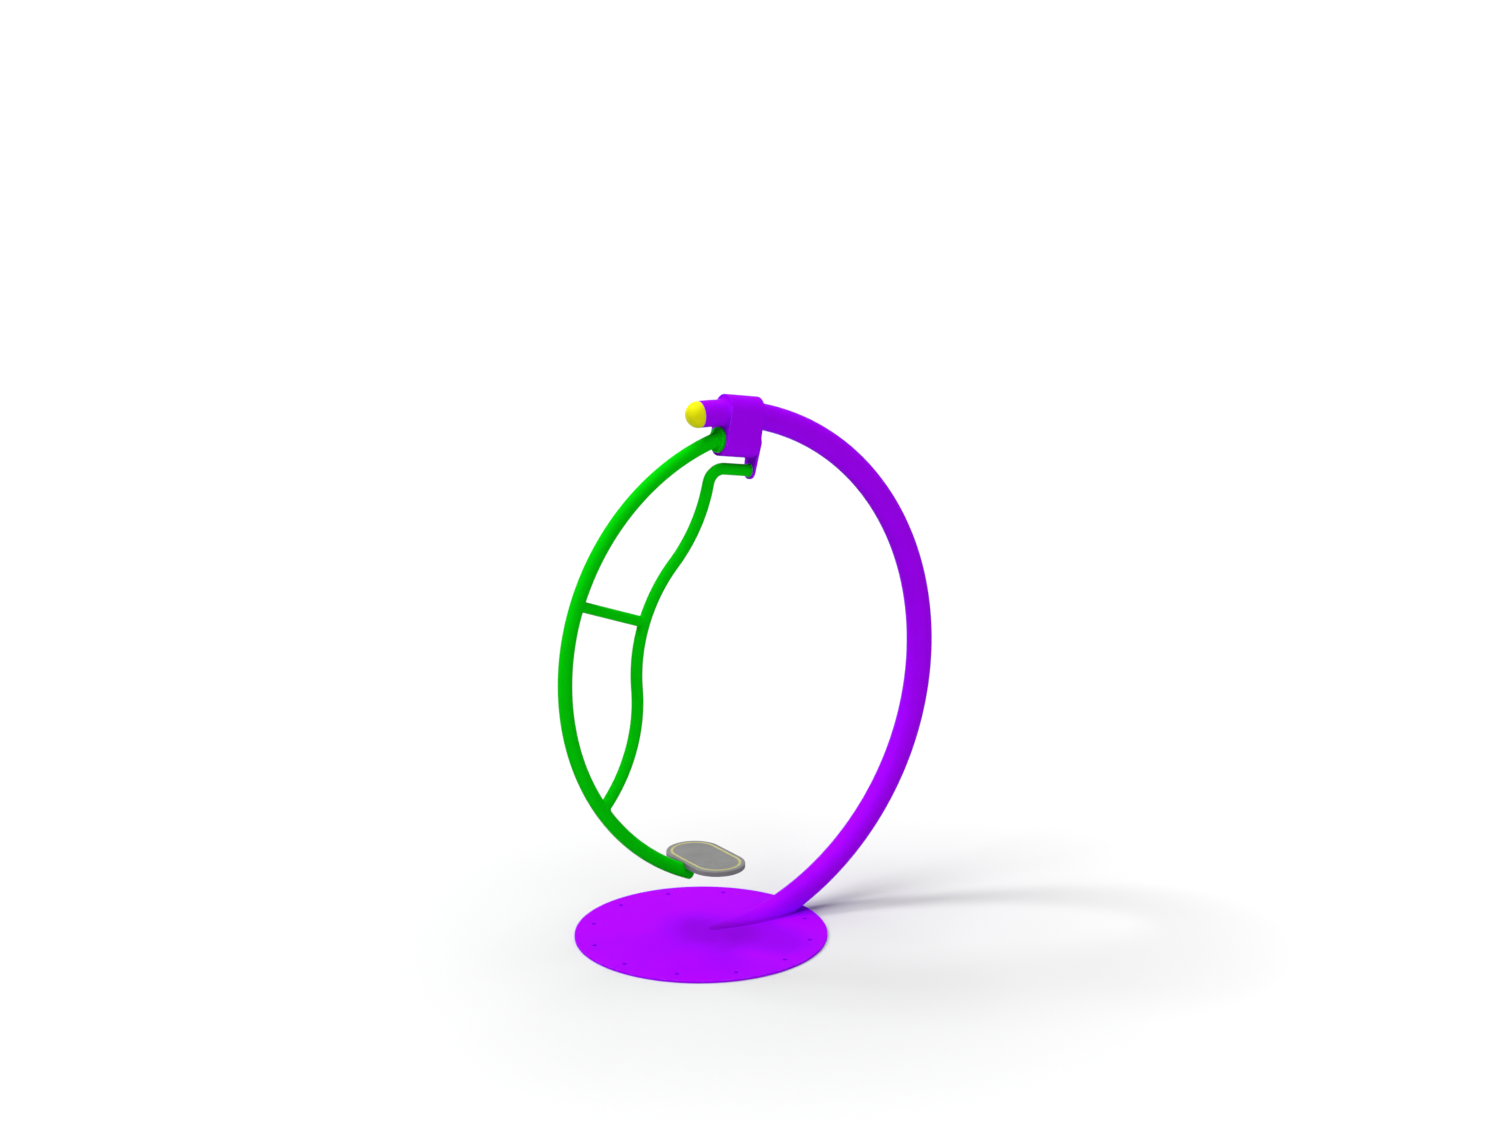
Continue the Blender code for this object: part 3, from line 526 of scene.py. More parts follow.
@dataclass(frozen=True)
class PlatedSteel(Finish):
    """Zinc-plated or ground metal: mottled crystals, soft scratches and paler edges."""

    mottle: Grain = Grain(240.0, 3.0)
    mottle_tints: Span = (0.86, 1.08)
    mottle_dull: float = 0.16
    scratch: Grain = Grain(1.0, 3.0, 0.7, (900.0, 900.0, 60.0))
    scratch_dull: float = 0.06
    relief: Span = (0.12, 0.0002)
    worn_steps: Span = (0.58, 0.80)
    worn: float = 0.4
    worn_tint: float = 1.2

    def sockets(self, shader: Shader) -> dict[str, Any]:
        """Mottled metal with paler edges, and a bump of scratches.

        Args:
            shader: The shader that takes the nodes.

        Returns:
            The main shader's inputs, by name.
        """
        mottle, lines = shader.noise(self.mottle), shader.noise(self.scratch)
        worn = shader.edge().blend(mottle, 0.5).ease(*self.worn_steps)
        even = self.uneven(shader, mottle, self.mottle_tints)
        return {
            "Base Color": shader.mix(worn * self.worn, even, shade(self.colour, self.worn_tint)),
            "Metallic": 1.0,
            "Roughness": self.roughness + mottle * self.mottle_dull + lines * self.scratch_dull,
            "Normal": shader.bump(lines, *self.relief),
        }


@dataclass(frozen=True)
class MattRubber(Finish):
    """Moulded rubber with a dusty bloom."""

    bloom: Grain = Grain(70.0, 5.0)
    bloom_steps: Span = (0.35, 0.8)
    bloomed: float = 0.5
    bloom_tint: float = 2.6
    bloom_dull: float = 0.12
    grain: Grain = Grain(1400.0)
    relief: Span = (0.25, 0.0003)

    def sockets(self, shader: Shader) -> dict[str, Any]:
        """Bloom over the rubber's colour, and a bump of fine grain.

        Args:
            shader: The shader that takes the nodes.

        Returns:
            The main shader's inputs, by name.
        """
        bloom = shader.noise(self.bloom).ease(*self.bloom_steps)
        dusty = shade(self.colour, self.bloom_tint)
        return {
            "Base Color": shader.mix(bloom * self.bloomed, self.colour, dusty),
            "Roughness": self.roughness + bloom * self.bloom_dull,
            "Normal": shader.bump(shader.noise(self.grain), *self.relief),
        }


PURPLE = PowderCoat("purple_powder_coat", "purple_paint", screen_colour(166, 3, 254), 0.46)
# the purple coat with painted shade over its lowest millimetres, for the crease at the plate
SHADED_PURPLE = PaintedShadeCoat("purple_coat_painted_shade", "purple_paint", PURPLE.colour, PURPLE.roughness)
GREEN = PowderCoat("green_powder_coat", "green_paint", screen_colour(2, 202, 5), 0.46)
YELLOW = MouldedPlastic("yellow_moulded_cap", "yellow_cap", screen_colour(228, 226, 2), 0.44)
BOARD = GrainedBoard("grey_grained_board", "grey_board", screen_colour(124, 124, 123), 0.56)
CORE = RoutedCore("yellow_board_core", "grey_board", screen_colour(168, 164, 104), 0.55)
STEEL = PlatedSteel("ground_steel", "bearing_steel", screen_colour(192, 194, 197), 0.22)
ZINC = PlatedSteel("zinc_plated_steel", "zinc", screen_colour(197, 196, 190), 0.30)
BRASS = PlatedSteel("machined_brass", "cage_brass", screen_colour(205, 172, 108), 0.30)
RUBBER = MattRubber("black_seal_rubber", "black_rubber", screen_colour(34, 34, 35), 0.62)
NYLON = MouldedPlastic("nylon_lock_ring", "zinc", screen_colour(214, 220, 226), 0.42)


@dataclass
class Skin:
    """The grids of points that make up one piece."""

    name: str
    places: list[Array] = field(default_factory=list)
    corners: list[NDArray[np.int64]] = field(default_factory=list)
    edges: list[Array] = field(default_factory=list)
    layers: list[NDArray[np.int64]] = field(default_factory=list)
    count: int = 0

    def lay(
        self,
        grid: Array,
        wrap_rows: bool = False,
        wrap_columns: bool = True,
        edge: Array | Sequence[float] | float = 0.0,
        layer: NDArray[np.int64] | int = 0,
    ) -> Skin:
        """Adds a grid of points, with a four-cornered face between each four neighbours.

        Args:
            grid: Rows by columns by three.
            wrap_rows: Whether the last row meets the first.
            wrap_columns: Whether the last column meets the first.
            edge: How near a rounded edge the points are, for all or for each row.
            layer: Which of the piece's finishes the faces take, for all or for each row of faces.

        Returns:
            The skin itself.
        """
        rows, columns = grid.shape[:2]
        row = np.arange(rows if wrap_rows else rows - 1)[:, None]
        column = np.arange(columns if wrap_columns else columns - 1)[None, :]
        below, beside = (row + 1) % rows, (column + 1) % columns
        here, next_row = row * columns, below * columns
        corners = (here + column, here + beside, next_row + beside, next_row + column)
        faces = np.stack(np.broadcast_arrays(*corners), -1)
        self.corners.append(faces.reshape(-1, 4) + self.count)
        self.places.append(grid.reshape(-1, 3))
        share = np.asarray(edge, float).reshape(-1, 1)
        self.edges.append(np.broadcast_to(share, (rows, columns)).reshape(-1))
        which = np.asarray(layer, int).reshape(-1, 1)
        self.layers.append(np.broadcast_to(which, faces.shape[:2]).reshape(-1))
        self.count += rows * columns
        return self

    def mesh(self) -> bpy.types.Mesh:
        """One mesh of all grids: equal points merged, faces turned outwards, sharp edges kept.

        Returns:
            The mesh, with each point's nearness to a rounded edge as an attribute.
        """
        mesh = bpy.data.meshes.new(self.name)
        mesh.from_pydata(np.concatenate(self.places).tolist(), [], np.concatenate(self.corners).tolist())
        wear = mesh.attributes.new("edge", "FLOAT", "POINT")
        wear.data.foreach_set("value", np.concatenate(self.edges).astype(np.float32))
        mesh.polygons.foreach_set("material_index", np.concatenate(self.layers).astype(np.int32))
        work = bmesh.new()
        work.from_mesh(mesh)
        bmesh.ops.remove_doubles(work, verts=work.verts, dist=MERGE)
        bmesh.ops.dissolve_degenerate(work, edges=work.edges, dist=MERGE)
        bmesh.ops.recalc_face_normals(work, faces=work.faces)
        work.to_mesh(mesh)
        work.free()
        mesh.shade_smooth()
        mesh.set_sharp_from_angle(angle=SHARP)
        return mesh

    def loose(self, finishes: Sequence[Finish] = ()) -> bpy.types.Object:
        """The skin as an object with its finishes, which rides on nothing yet.

        Args:
            finishes: Its finishes, the main one first.

        Returns:
            The object, in the scene.
        """
        made = bpy.data.objects.new(self.name, self.mesh())
        for finish in finishes:
            made.data.materials.append(finish.material())
        bpy.context.scene.collection.objects.link(made)
        return made

    def piece(self, body: Body, finishes: Sequence[Finish], nodes: Sequence[str] = ()) -> bpy.types.Object:
        """The finished piece.

        Args:
            body: The body that it rides on.
            finishes: Its finishes, the main one first.
            nodes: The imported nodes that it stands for.

        Returns:
            The piece's object.
        """
        return settle(self.loose(finishes), body, nodes)


def settle(made: bpy.types.Object, body: Body, nodes: Sequence[str] = ()) -> bpy.types.Object:
    """Gives an object its place in the frame's table, and reports it.

    Args:
        made: The piece's object.
        body: The body that it rides on.
        nodes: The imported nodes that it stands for.

    Returns:
        The object itself.
    """
    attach(made, body.value)
    if nodes:
        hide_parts(*nodes)
    log.info("%s: %d faces on %s", made.name, len(made.data.polygons), body.value)
    return made


def dress_nodes(frame: Mapping[str, Any], finish: Finish, names: Sequence[str]) -> None:
    """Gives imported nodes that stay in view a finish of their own.

    Args:
        frame: The loaded frame.
        finish: The finish.
        names: The nodes' names.
    """
    for name in names:
        mesh = frame["nodes"][name].data
        mesh.materials.clear()
        mesh.materials.append(finish.material())
        log.info("%s keeps its packed shape in %s", name, finish.name)


def full_turn(sides: int) -> Array:
    """Equal steps of angle round a full turn, without the last that would repeat the first."""
    return np.linspace(0.0, 2.0 * np.pi, sides, endpoint=False)


@dataclass(frozen=True)
class Seat:
    """A place with three directions at right angles to each other."""

    origin: Array
    u: Array
    v: Array
    w: Array

    def at(self, u: Any, v: Any, w: Any) -> Array:
        """The origin plus each distance times its direction, for whole arrays of distances."""
        a, b, c = np.broadcast_arrays(*(np.asarray(part, float) for part in (u, v, w)))
        return self.origin + a[..., None] * self.u + b[..., None] * self.v + c[..., None] * self.w

    def flat(self, points: Array, w: Any) -> Array:
        """Places for points given as u and v, at distances along w."""
        return self.at(points[..., 0], points[..., 1], w)

    def moved(self, u: float = 0.0, v: float = 0.0) -> Seat:
        """The same directions at another place."""
        return replace(self, origin=self.at(u, v, 0.0))

    def spun(self, turn: float) -> Seat:
        """The same place with u and v turned round w."""
        cos, sin = math.cos(turn), math.sin(turn)
        return replace(self, u=cos * self.u + sin * self.v, v=cos * self.v - sin * self.u)

    def past(self, along: float, side: float) -> Gap:
        """The gap to the plane at a distance along w, positive on that side of it."""
        return lambda places: side * ((places - self.origin) @ self.w - along)


LEVEL = Seat(np.zeros(3), np.array([1.0, 0.0, 0.0]), ACROSS, np.array([0.0, 0.0, 1.0]))


def tilted_seat(joint: Mapping[str, Any]) -> Seat:
    """The seat of the swing joint: w along the shaft, u across it and v up towards the post.

    Args:
        joint: The joint, as the frame gives it.

    Returns:
        The seat, with its origin on the shaft.
    """
    along = np.array(joint["axis"], float)
    along /= np.linalg.norm(along)
    return Seat(np.array(joint["pos_m"], float), ACROSS, np.cross(along, ACROSS), along)


def turned(seat: Seat, profile: Sequence[tuple[float, float]], sides: int = 96) -> Array:
    """A lathe shape: each (along, radius) of the profile is carried round the seat's w direction.

    Args:
        seat: Its place, with w along its axis.
        profile: Pairs of a distance along the axis and a radius.
        sides: Columns in a full turn.

    Returns:
        Rows by columns by three.
    """
    along, radius = (column[:, None] for column in np.array(profile, float).T)
    turn = full_turn(sides)
    return seat.at(radius * np.cos(turn), radius * np.sin(turn), along)


def quarter(steps: int = 4) -> Array:
    """Angles from 0 to a right angle."""
    return np.linspace(0.0, np.pi / 2.0, steps + 1)


def rounded_side(low: float, high: float, radius: float, reach: float) -> Array:
    """The side of a slab with both edges rounded, from the lower face to the upper one.

    Args:
        low, high: The heights of the two faces.
        radius: Of the rounded edges, which are quarter circles.
        reach: How far in from the outline the two outermost rows lie, where no edge wear is left.

    Returns:
        Rows of inset from the outline, height, and nearness to an edge.
    """
    turn = quarter()
    worn = EDGE_WEAR + (1.0 - EDGE_WEAR) * np.sin(2.0 * turn)
    lower = np.stack([radius * (1.0 - np.sin(turn)), low + radius * (1.0 - np.cos(turn)), worn], -1)
    upper = lower[::-1] * [1.0, -1.0, 1.0] + [0.0, low + high, 0.0]
    calm = radius + CALM_SHARE * ((high - low) / 2.0 - radius)
    middle = [[0.0, low + calm, 0.0], [0.0, high - calm, 0.0]]
    return np.concatenate([[[reach, low, 0.0]], lower, middle, upper, [[reach, high, 0.0]]])


def rim(side: Array, radius: float) -> Array:
    """A slab's rounded side as a lathe profile of (along, radius) round a circle of that radius."""
    return np.stack([side[:, 1], radius - side[:, 0]], -1)


@dataclass(frozen=True)
class Belt:
    """The line of a tight belt round circles, each given as its centre's two places and its radius."""

    circles: tuple[tuple[float, float, float], ...]
    sides: int = 192

    def loop(self, inset: Array) -> Array:
        """The belt drawn in by each inset.

        In each direction d the belt touches the circle whose centre . d + radius is largest, at its
        centre + (radius - inset) d.

        Args:
            inset: Distances inwards, one for each row.

        Returns:
            Rows by sides by two.
        """
        circles = np.array(self.circles)
        turn = full_turn(self.sides) + np.pi / self.sides
        way = np.stack([np.cos(turn), np.sin(turn)], -1)
        touched = circles[np.argmax(circles[:, :2] @ way.T + circles[:, 2:], axis=0)]
        return touched[:, :2] + (touched[:, 2:] - np.asarray(inset)[:, None, None]) * way

    def rows(self, seat: Seat, profile: Array) -> Array:
        """The belt at each inset and height of a profile, as rows of places."""
        return seat.flat(self.loop(profile[:, 0]), profile[:, 1, None])

    def slab(self, skin: Skin, seat: Seat, profile: Array, layer: Any = 0) -> Skin:
        """A closed slab: the rows of a profile, with a middle point closing the first and the last.

        Args:
            skin: The skin that takes the slab.
            seat: Its place, with w through its thickness.
            profile: Rows of inset, height and nearness to an edge.
            layer: Which of the piece's finishes the faces take, for all or for each row of faces.

        Returns:
            The skin.
        """
        grid = self.rows(seat, profile)
        ends = np.broadcast_to(grid[[0, -1]].mean(1, keepdims=True), (2, *grid.shape[1:]))
        closed = np.concatenate([ends[:1], grid, ends[1:]])
        edge = np.concatenate([[0.0], profile[:, 2], [0.0]])
        return skin.lay(closed, edge=edge, layer=layer)


@dataclass(frozen=True)
class Route:
    """A line of straight runs and circular bends in the plane Y = 0.

    Each leg is a length and a curvature. A positive curvature turns from +X towards +Z.
    """

    start: tuple[float, float]
    heading: float
    legs: tuple[tuple[float, float], ...]

    @cached_property
    def table(self) -> Array:
        """For each leg, the distance, place, heading and curvature at its start.

        A leg of length L and curvature k leads along a chord of L sin(a) / a, with a = k L / 2, whose
        heading is the leg's first one plus a.

        Returns:
            Rows of distance, x, z, heading and curvature, with a column for each leg.
        """
        length, curve = np.array(self.legs).T
        half = length * curve / 2.0
        heading = self.heading + np.concatenate([[0.0], np.cumsum(2.0 * half)[:-1]])
        chord = length * np.sinc(half / np.pi)
        steps = np.stack([length, chord * np.cos(heading + half), chord * np.sin(heading + half)])
        begun = np.concatenate([np.zeros((3, 1)), np.cumsum(steps, axis=1)[:, :-1]], axis=1)
        begun[1:] += np.array(self.start)[:, None]
        return np.vstack([begun, heading, curve])

    @property
    def length(self) -> float:
        """The whole length of the line."""
        return float(sum(leg[0] for leg in self.legs))

    def at(self, s: Array) -> tuple[Array, Array, Array]:
        """The line's places, directions and left-hand normals at distances s.

        Each place lies at the end of a chord from the start of its leg, as in the table, and the heading
        there has turned by twice the chord's own turn.

        Args:
            s: Distances along the line.

        Returns:
            Places, directions and normals, each of three parts for every distance.
        """
        first, x, z, heading, curve = self.table
        leg = np.clip(np.searchsorted(first, s, side="right") - 1, 0, len(first) - 1)
        run = s - first[leg]
        half = run * curve[leg] / 2.0
        chord = run * np.sinc(half / np.pi)
        way = heading[leg] + half
        now = way + half
        flat = np.zeros_like(now)
        place = np.stack([x[leg] + chord * np.cos(way), flat, z[leg] + chord * np.sin(way)], -1)
        along = np.stack([np.cos(now), flat, np.sin(now)], -1)
        side = np.stack([-np.sin(now), flat, np.cos(now)], -1)
        return place, along, side

    def bend(self, leg: int) -> Bend:
        """The circle that a bent leg follows: its centre lies one radius to the left for a left turn.

        Args:
            leg: The leg's number, from 0.

        Returns:
            The circle.
        """
        _, x, z, heading, curve = self.table[:, leg]
        centre = np.array([x - math.sin(heading) / curve, 0.0, z + math.cos(heading) / curve])
        return Bend(centre, abs(1.0 / curve))


@dataclass(frozen=True)
class Bend:
    """The circle of a tube's bend in the plane Y = 0."""

    centre: Array
    radius: float

    def away(self, places: Array) -> Array:
        """Distance of places from the circle's line: the hypotenuse of the miss in the plane and Y."""
        flat = places - self.centre
        return np.hypot(np.hypot(flat[..., 0], flat[..., 2]) - self.radius, flat[..., 1])

    def outside(self, radius: float) -> Gap:
        """The gap to a tube of that radius along the circle."""
        return lambda places: self.away(places) - radius


@dataclass(frozen=True)
class Tube:
    """A round tube along a route."""

    route: Route
    radius: float
    sides: int = 96
    step: float = 0.010
    end_ease: float = 0.004
    lip_round: float = 0.0007
    lip_steps: int = 3
    fewest_rows: int = 3
    open_depth: float = 0.014

    @property
    def turn(self) -> Array:
        """The angles of the tube's columns: 0 on the left of its line, a right angle towards +Y."""
        return full_turn(self.sides)

    def skin(self, s: Array, turn: Array, radius: Array | float | None = None) -> Array:
        """Places on the tube: its line at s, plus the radius to the side and across by cos and sin.

        Args:
            s: Distances along the tube.
            turn: Angles round it.
            radius: Another radius than the tube's own, or None.

        Returns:
            A place for each distance and angle.
        """
        reach = self.radius if radius is None else np.asarray(radius)[..., None]
        place, _, side = self.route.at(s)
        return place + reach * (np.cos(turn)[..., None] * side + np.sin(turn)[..., None] * ACROSS)

    def meet(self, gap: Gap, clear: float, within: float, turn: Array | None = None) -> Array:
        """Where each column of the tube meets another surface, found by halving.

        Args:
            gap: The distance to the surface.
            clear: A distance along the tube that is outside the surface.
            within: A distance along the tube that is inside it.
            turn: The columns' angles, or None for all.

        Returns:
            A distance along the tube for each column.
        """
        angles = self.turn if turn is None else turn
        good, bad = np.full_like(angles, clear), np.full_like(angles, within)
        for _ in range(HALVINGS):
            middle = (good + bad) / 2.0
            free = gap(self.skin(middle, angles)) > 0.0
            good, bad = np.where(free, middle, good), np.where(free, bad, middle)
        return good

    def flat_end(self, s: float) -> Array:
        """One distance for every column: an end cut square."""
        return np.full(self.sides, s)

    def rows(self, first: Array, last: Array) -> Array:
        """Rows of places from one trimmed end to the other, square across the tube between them.

        Args:
            first, last: Distances along the tube at which each column starts and ends.

        Returns:
            Rows by columns by three.
        """
        low, high = float(first.max()) + self.end_ease, float(last.min()) - self.end_ease

        def share(span: float) -> Array:
            """Even shares from 0 to 1, as many as the span has steps."""
            rows = max(self.fewest_rows, math.ceil(span / self.step))
            return np.linspace(0.0, 1.0, rows)[:, None]

        head = first + share(low - float(first.min())) * (low - first)
        tail = high + share(float(last.max()) - high) * (last - high)
        body = low + share(high - low) * np.full(self.sides, high - low)
        return self.skin(np.concatenate([head[:-1], body, tail[1:]]), self.turn)

    def closed(
        self, skin: Skin, first: Array, last: Array, wall: float | None = None, below: Array | None = None
    ) -> Skin:
        """Lays the tube with both ends closed.

        Args:
            skin: The skin that takes the tube.
            first, last: Distances along the tube at which each column starts and ends.
            wall: The wall's thickness where the last end is open, or None where it is covered.
            below: One more row of places that the last end is carried on to, or None.

        Returns:
            The skin.
        """
        grid = self.rows(first, last)
        cap = np.broadcast_to(grid[0].mean(0), (1, *grid.shape[1:]))
        parts = [cap, grid]
        if wall is not None:
            soft, turn = self.lip_round, quarter(self.lip_steps)[:, None]
            reach = self.radius - soft * (1.0 - np.cos(turn))
            lip = self.skin(last - soft * (1.0 - np.sin(turn)), self.turn, reach)
            bore = self.skin(np.stack([last, last - self.open_depth]), self.turn, self.radius - wall)
            parts = [cap, grid[:-1], lip, bore]
        if below is not None:
            parts.append(below[None])
        tail = parts[-1][-1]
        parts.append(np.broadcast_to(tail.mean(0), (1, *tail.shape)))
        return skin.lay(np.concatenate(parts))


@dataclass(frozen=True)
class WeldBead:
    """A weld: a round section along a line, with the ripples of the welder's steps."""

    radius: float = 0.0036
    ripple: float = 0.0042
    depth: float = 0.09
    lag: float = 1.1
    fewest: int = 4
    taper: int = 12
    sides: int = 14
    steps: int = 6

    def along(self, skin: Skin, line: Array, closed: bool = True, size: Array | None = None) -> Skin:
        """Lays the bead along a line of places.

        The section's radius is radius x (1 + depth x cos(phase)), and the phase runs with the distance
        along the line and lags towards the bead's sides, so the ripples lie as crescents.

        Args:
            skin: The skin that takes the bead.
            line: Places along the line.
            closed: Whether the line's last place meets its first.
            size: A share of the radius for each place of the line, or None for a full bead.

        Returns:
            The skin.
        """
        knots = np.concatenate([line, line[:1]]) if closed else line
        reach = np.concatenate([[0.0], np.cumsum(np.linalg.norm(np.diff(knots, axis=0), axis=1))])
        count = max(self.fewest, round(reach[-1] / self.ripple)) * self.steps
        s = np.linspace(0.0, reach[-1], count, endpoint=not closed)
        path = np.stack([np.interp(s, reach, knots[:, k]) for k in range(3)], -1)
        ahead, behind = np.roll(path, -1, 0), np.roll(path, 1, 0)
        way = ahead - behind if closed else np.gradient(path, axis=0)
        way /= np.linalg.norm(way, axis=1, keepdims=True)
        out = path - path.mean(0)
        out -= (out * way).sum(1, keepdims=True) * way
        out /= np.linalg.norm(out, axis=1, keepdims=True)
        up = np.cross(way, out)
        turn = full_turn(self.sides)
        phase = 2.0 * np.pi * s[:, None] * round(reach[-1] / self.ripple) / reach[-1]
        swell = 1.0 + self.depth * np.cos(phase - self.lag * np.cos(2.0 * turn))
        if size is not None:
            shares = np.concatenate([size, size[:1]]) if closed else size
            swell = swell * np.interp(s, reach, shares)[:, None]
        if not closed:
            ends = np.abs(2.0 * s / reach[-1] - 1.0) ** self.taper
            swell = swell * np.sqrt(np.clip(1.0 - ends, 0.0, 1.0))[:, None]
        section = np.cos(turn)[:, None] * out[:, None] + np.sin(turn)[:, None] * up[:, None]
        grid = path[:, None] + (self.radius * swell)[..., None] * section
        return skin.lay(grid, wrap_rows=closed)


def hexagon_rows(seat: Seat, flats: float, low: float, high: float, bore: float, both: bool) -> Array:
    """A hexagon whose corners are turned off by a cone.

    In each direction the hexagon reaches flats / 2 over the cosine of the angle from the nearest flat,
    and the cone takes off height in proportion to the reach beyond a circle inside the flats.

    Args:
        seat: Its place, with w along its axis.
        flats: Distance across the flats.
        low, high: The heights of its two faces.
        bore: The radius of the hole, or 0.
        both: Whether the lower face is turned off too.

    Returns:
        Rows of places from the bore's lower edge round to its upper edge.
    """
    turn = full_turn(BOLT_SIDES)
    reach = flats / 2.0 / np.cos(turn % (np.pi / 3.0) - np.pi / 6.0)
    ring = HEX_RING * flats / 2.0
    fall = (reach - ring) * math.tan(HEX_CONE)
    same = np.ones_like(turn)
    radius = np.stack([bore * same, ring * same, reach, reach, ring * same, bore * same])
    shoulders = [low + fall if both else low * same, high - fall]
    along = np.stack([low * same, low * same, *shoulders, high * same, high * same])
    return seat.at(radius * np.cos(turn), radius * np.sin(turn), along)


@dataclass
class GroundStand:
    """The ground plate, the bent post on it, the post's cap and the weld round its foot."""

    anchor_count: int = 12
    anchor_first: float = math.radians(15.0)
    anchor_edge: float = 0.058
    anchor_radius: float = 0.008
    anchor_chamfer: float = 0.0008
    plate_round: float = 0.0016
    middle_radius: float = 0.330
    post_radius: float = 0.047
    post_bend: float = 0.9725
    foot_rise: float = 0.00555
    foot_turn: float = math.radians(25.0)
    foot_reach: float = 0.040
    foot_nose: float = 0.034
    tip_rise: float = 0.001
    weld_fade: float = 0.160
    weld_least: float = 0.25
    foot_bead: WeldBead = WeldBead(0.0042, 0.0060)
    post_step: float = 0.014
    cap_wall: float = 0.0035
    cap_lip: float = 0.0008
    cap_bevel: Span = (0.3, 0.6)      # along the post and across it, as shares of the lip
    cap_rows: int = 22
    cap_spigot: float = 0.010
    spigot_inset: float = 0.005
    border_steps: int = 25
    face_rows: int = 7
    face_spread: float = 1.6
    fan_rows: int = 9
    hole_wear: tuple[float, ...] = (0.6, 0.6, 0.0, 0.0)   # of the rows down an anchor hole

    def __post_init__(self) -> None:
        """Takes the plate's size from the frame."""
        low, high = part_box("base_plate")
        self.plate_radius = (high.y - low.y) / 2.0
        self.plate_top = high.z

    @cached_property
    def post(self) -> Tube:
        """The post: one bend from its top end, and a flatter one that brings its tip down to the plate.

        The chord from the end of the first bend to the tip heads down by the mean of the second bend's
        two headings, which gives the last heading and so the second bend's radius.

        Returns:
            The tube, whose line runs on past the tip, which the mitre cuts off.
        """
        low = self.plate_top + self.foot_rise - self.post_radius
        turn, bend = self.foot_turn, self.post_bend
        run = bend * math.sin(turn) - self.foot_reach
        drop = low + bend * (1.0 - math.cos(turn)) - self.plate_top - self.tip_rise + self.post_radius
        last = 2.0 * math.atan2(drop, run) - turn
        foot_bend = run / (math.sin(turn) - math.sin(last))
        legs = (((math.pi - turn) * bend, -1.0 / bend), (turn * foot_bend, -1.0 / foot_bend))
        route = Route((0.0, low + 2.0 * bend), 0.0, legs)
        return Tube(route, self.post_radius, step=self.post_step)

    def build(self) -> None:
        """Makes and dresses every piece."""
        self.make_plate()
        foot = self.make_post()
        size = np.clip((foot[:, 0] - self.foot_reach) / self.weld_fade, self.weld_least, 1.0)
        # the foot's weld takes the coat with painted shade, which makes it a dark line in the crease
        self.foot_bead.along(Skin("post_foot_weld"), foot, size=size).piece(Body.STAND, [SHADED_PURPLE])
        self.make_cap()

    def sector(self) -> tuple[Array, Array]:
        """The border of the plate's share round one anchor hole, and the hole's own matching points.

        The border is a rectangle in distance from the plate's middle and in arc round it. Each border
        point has a hole point in its own direction from the hole's centre.

        Returns:
            The border's points and the hole's unit directions, with the hole on the +X axis.
        """
        centre = self.plate_radius - self.anchor_edge
        outer = self.plate_radius - self.plate_round
        half = math.pi / self.anchor_count
        edge = np.linspace(-1.0, 1.0, self.border_steps)
        ones = np.ones_like(edge)
        middle, span = (outer + self.middle_radius) / 2.0, (outer - self.middle_radius) / 2.0
        sides = np.array([
            [ones * outer, middle - edge * span, ones * self.middle_radius, middle + edge * span],
            [half * edge, half * ones, -half * edge, -half * ones],
        ])
        distance, angle = sides[..., :-1].reshape(2, -1)
        border = np.stack([distance * np.cos(angle), distance * np.sin(angle)], -1)
        way = border - [centre, 0.0]
        return border, way / np.linalg.norm(way, axis=1, keepdims=True)

    def make_plate(self) -> None:
        """The round plate with rounded rim and chamfered anchor holes.

        Each hole's share of a face is ruled from the hole's edge to the share's border, and the rest is
        a fan from the plate's middle.
        """
        border, way = self.sector()
        centre = np.array([self.plate_radius - self.anchor_edge, 0.0])
        top, chamfer = self.plate_top, self.anchor_chamfer
        share = np.linspace(0.0, 1.0, self.face_rows)[:, None, None] ** self.face_spread
        wide = centre + (self.anchor_radius + chamfer) * way
        face = (1.0 - share) * wide + share * border
        hole = np.array([(chamfer, top), (0.0, top - chamfer), (0.0, chamfer), (chamfer, 0.0)])
        wall = centre + (self.anchor_radius + hole[:, 0, None, None]) * way
        side = len(border) // 4
        fan = np.linspace(0.0, 1.0, self.fan_rows)[:, None, None] * border[2 * side:3 * side + 1][::-1]
        turned_in = rounded_side(0.0, top, self.plate_round, self.plate_round)[1:-1]
        scale = (self.plate_radius - turned_in[:, 0, None, None]) / (self.plate_radius - self.plate_round)
        band = scale * border[:side + 1]
        skin = Skin("ground_plate")
        for k in range(self.anchor_count):
            seat = LEVEL.spun(self.anchor_first + 2.0 * math.pi * k / self.anchor_count)
            for height in (0.0, top):
                skin.lay(seat.flat(face, height))
                skin.lay(seat.flat(fan, height), wrap_columns=False)
            skin.lay(seat.flat(wall, hole[:, 1, None]), edge=self.hole_wear)
            skin.lay(seat.flat(band, turned_in[:, 1, None]), wrap_columns=False, edge=turned_in[:, 2])
        skin.piece(Body.STAND, [PURPLE], ["base_plate"])

    def make_post(self) -> Array:
        """The post, mitred on the plate's top, with a round nose at the mitre's tip.

        The nose is cut upright along the curve x = reach + y^2 / (2 nose).

        Returns:
            The line where the post meets the plate.
        """

        def gap(places: Array) -> Array:
            """The height over the plate, or the distance before the nose where that is less."""
            nose = places[..., 0] - self.foot_reach - places[..., 1] ** 2 / (2.0 * self.foot_nose)
            return np.minimum(places[..., 2] - self.plate_top, nose)

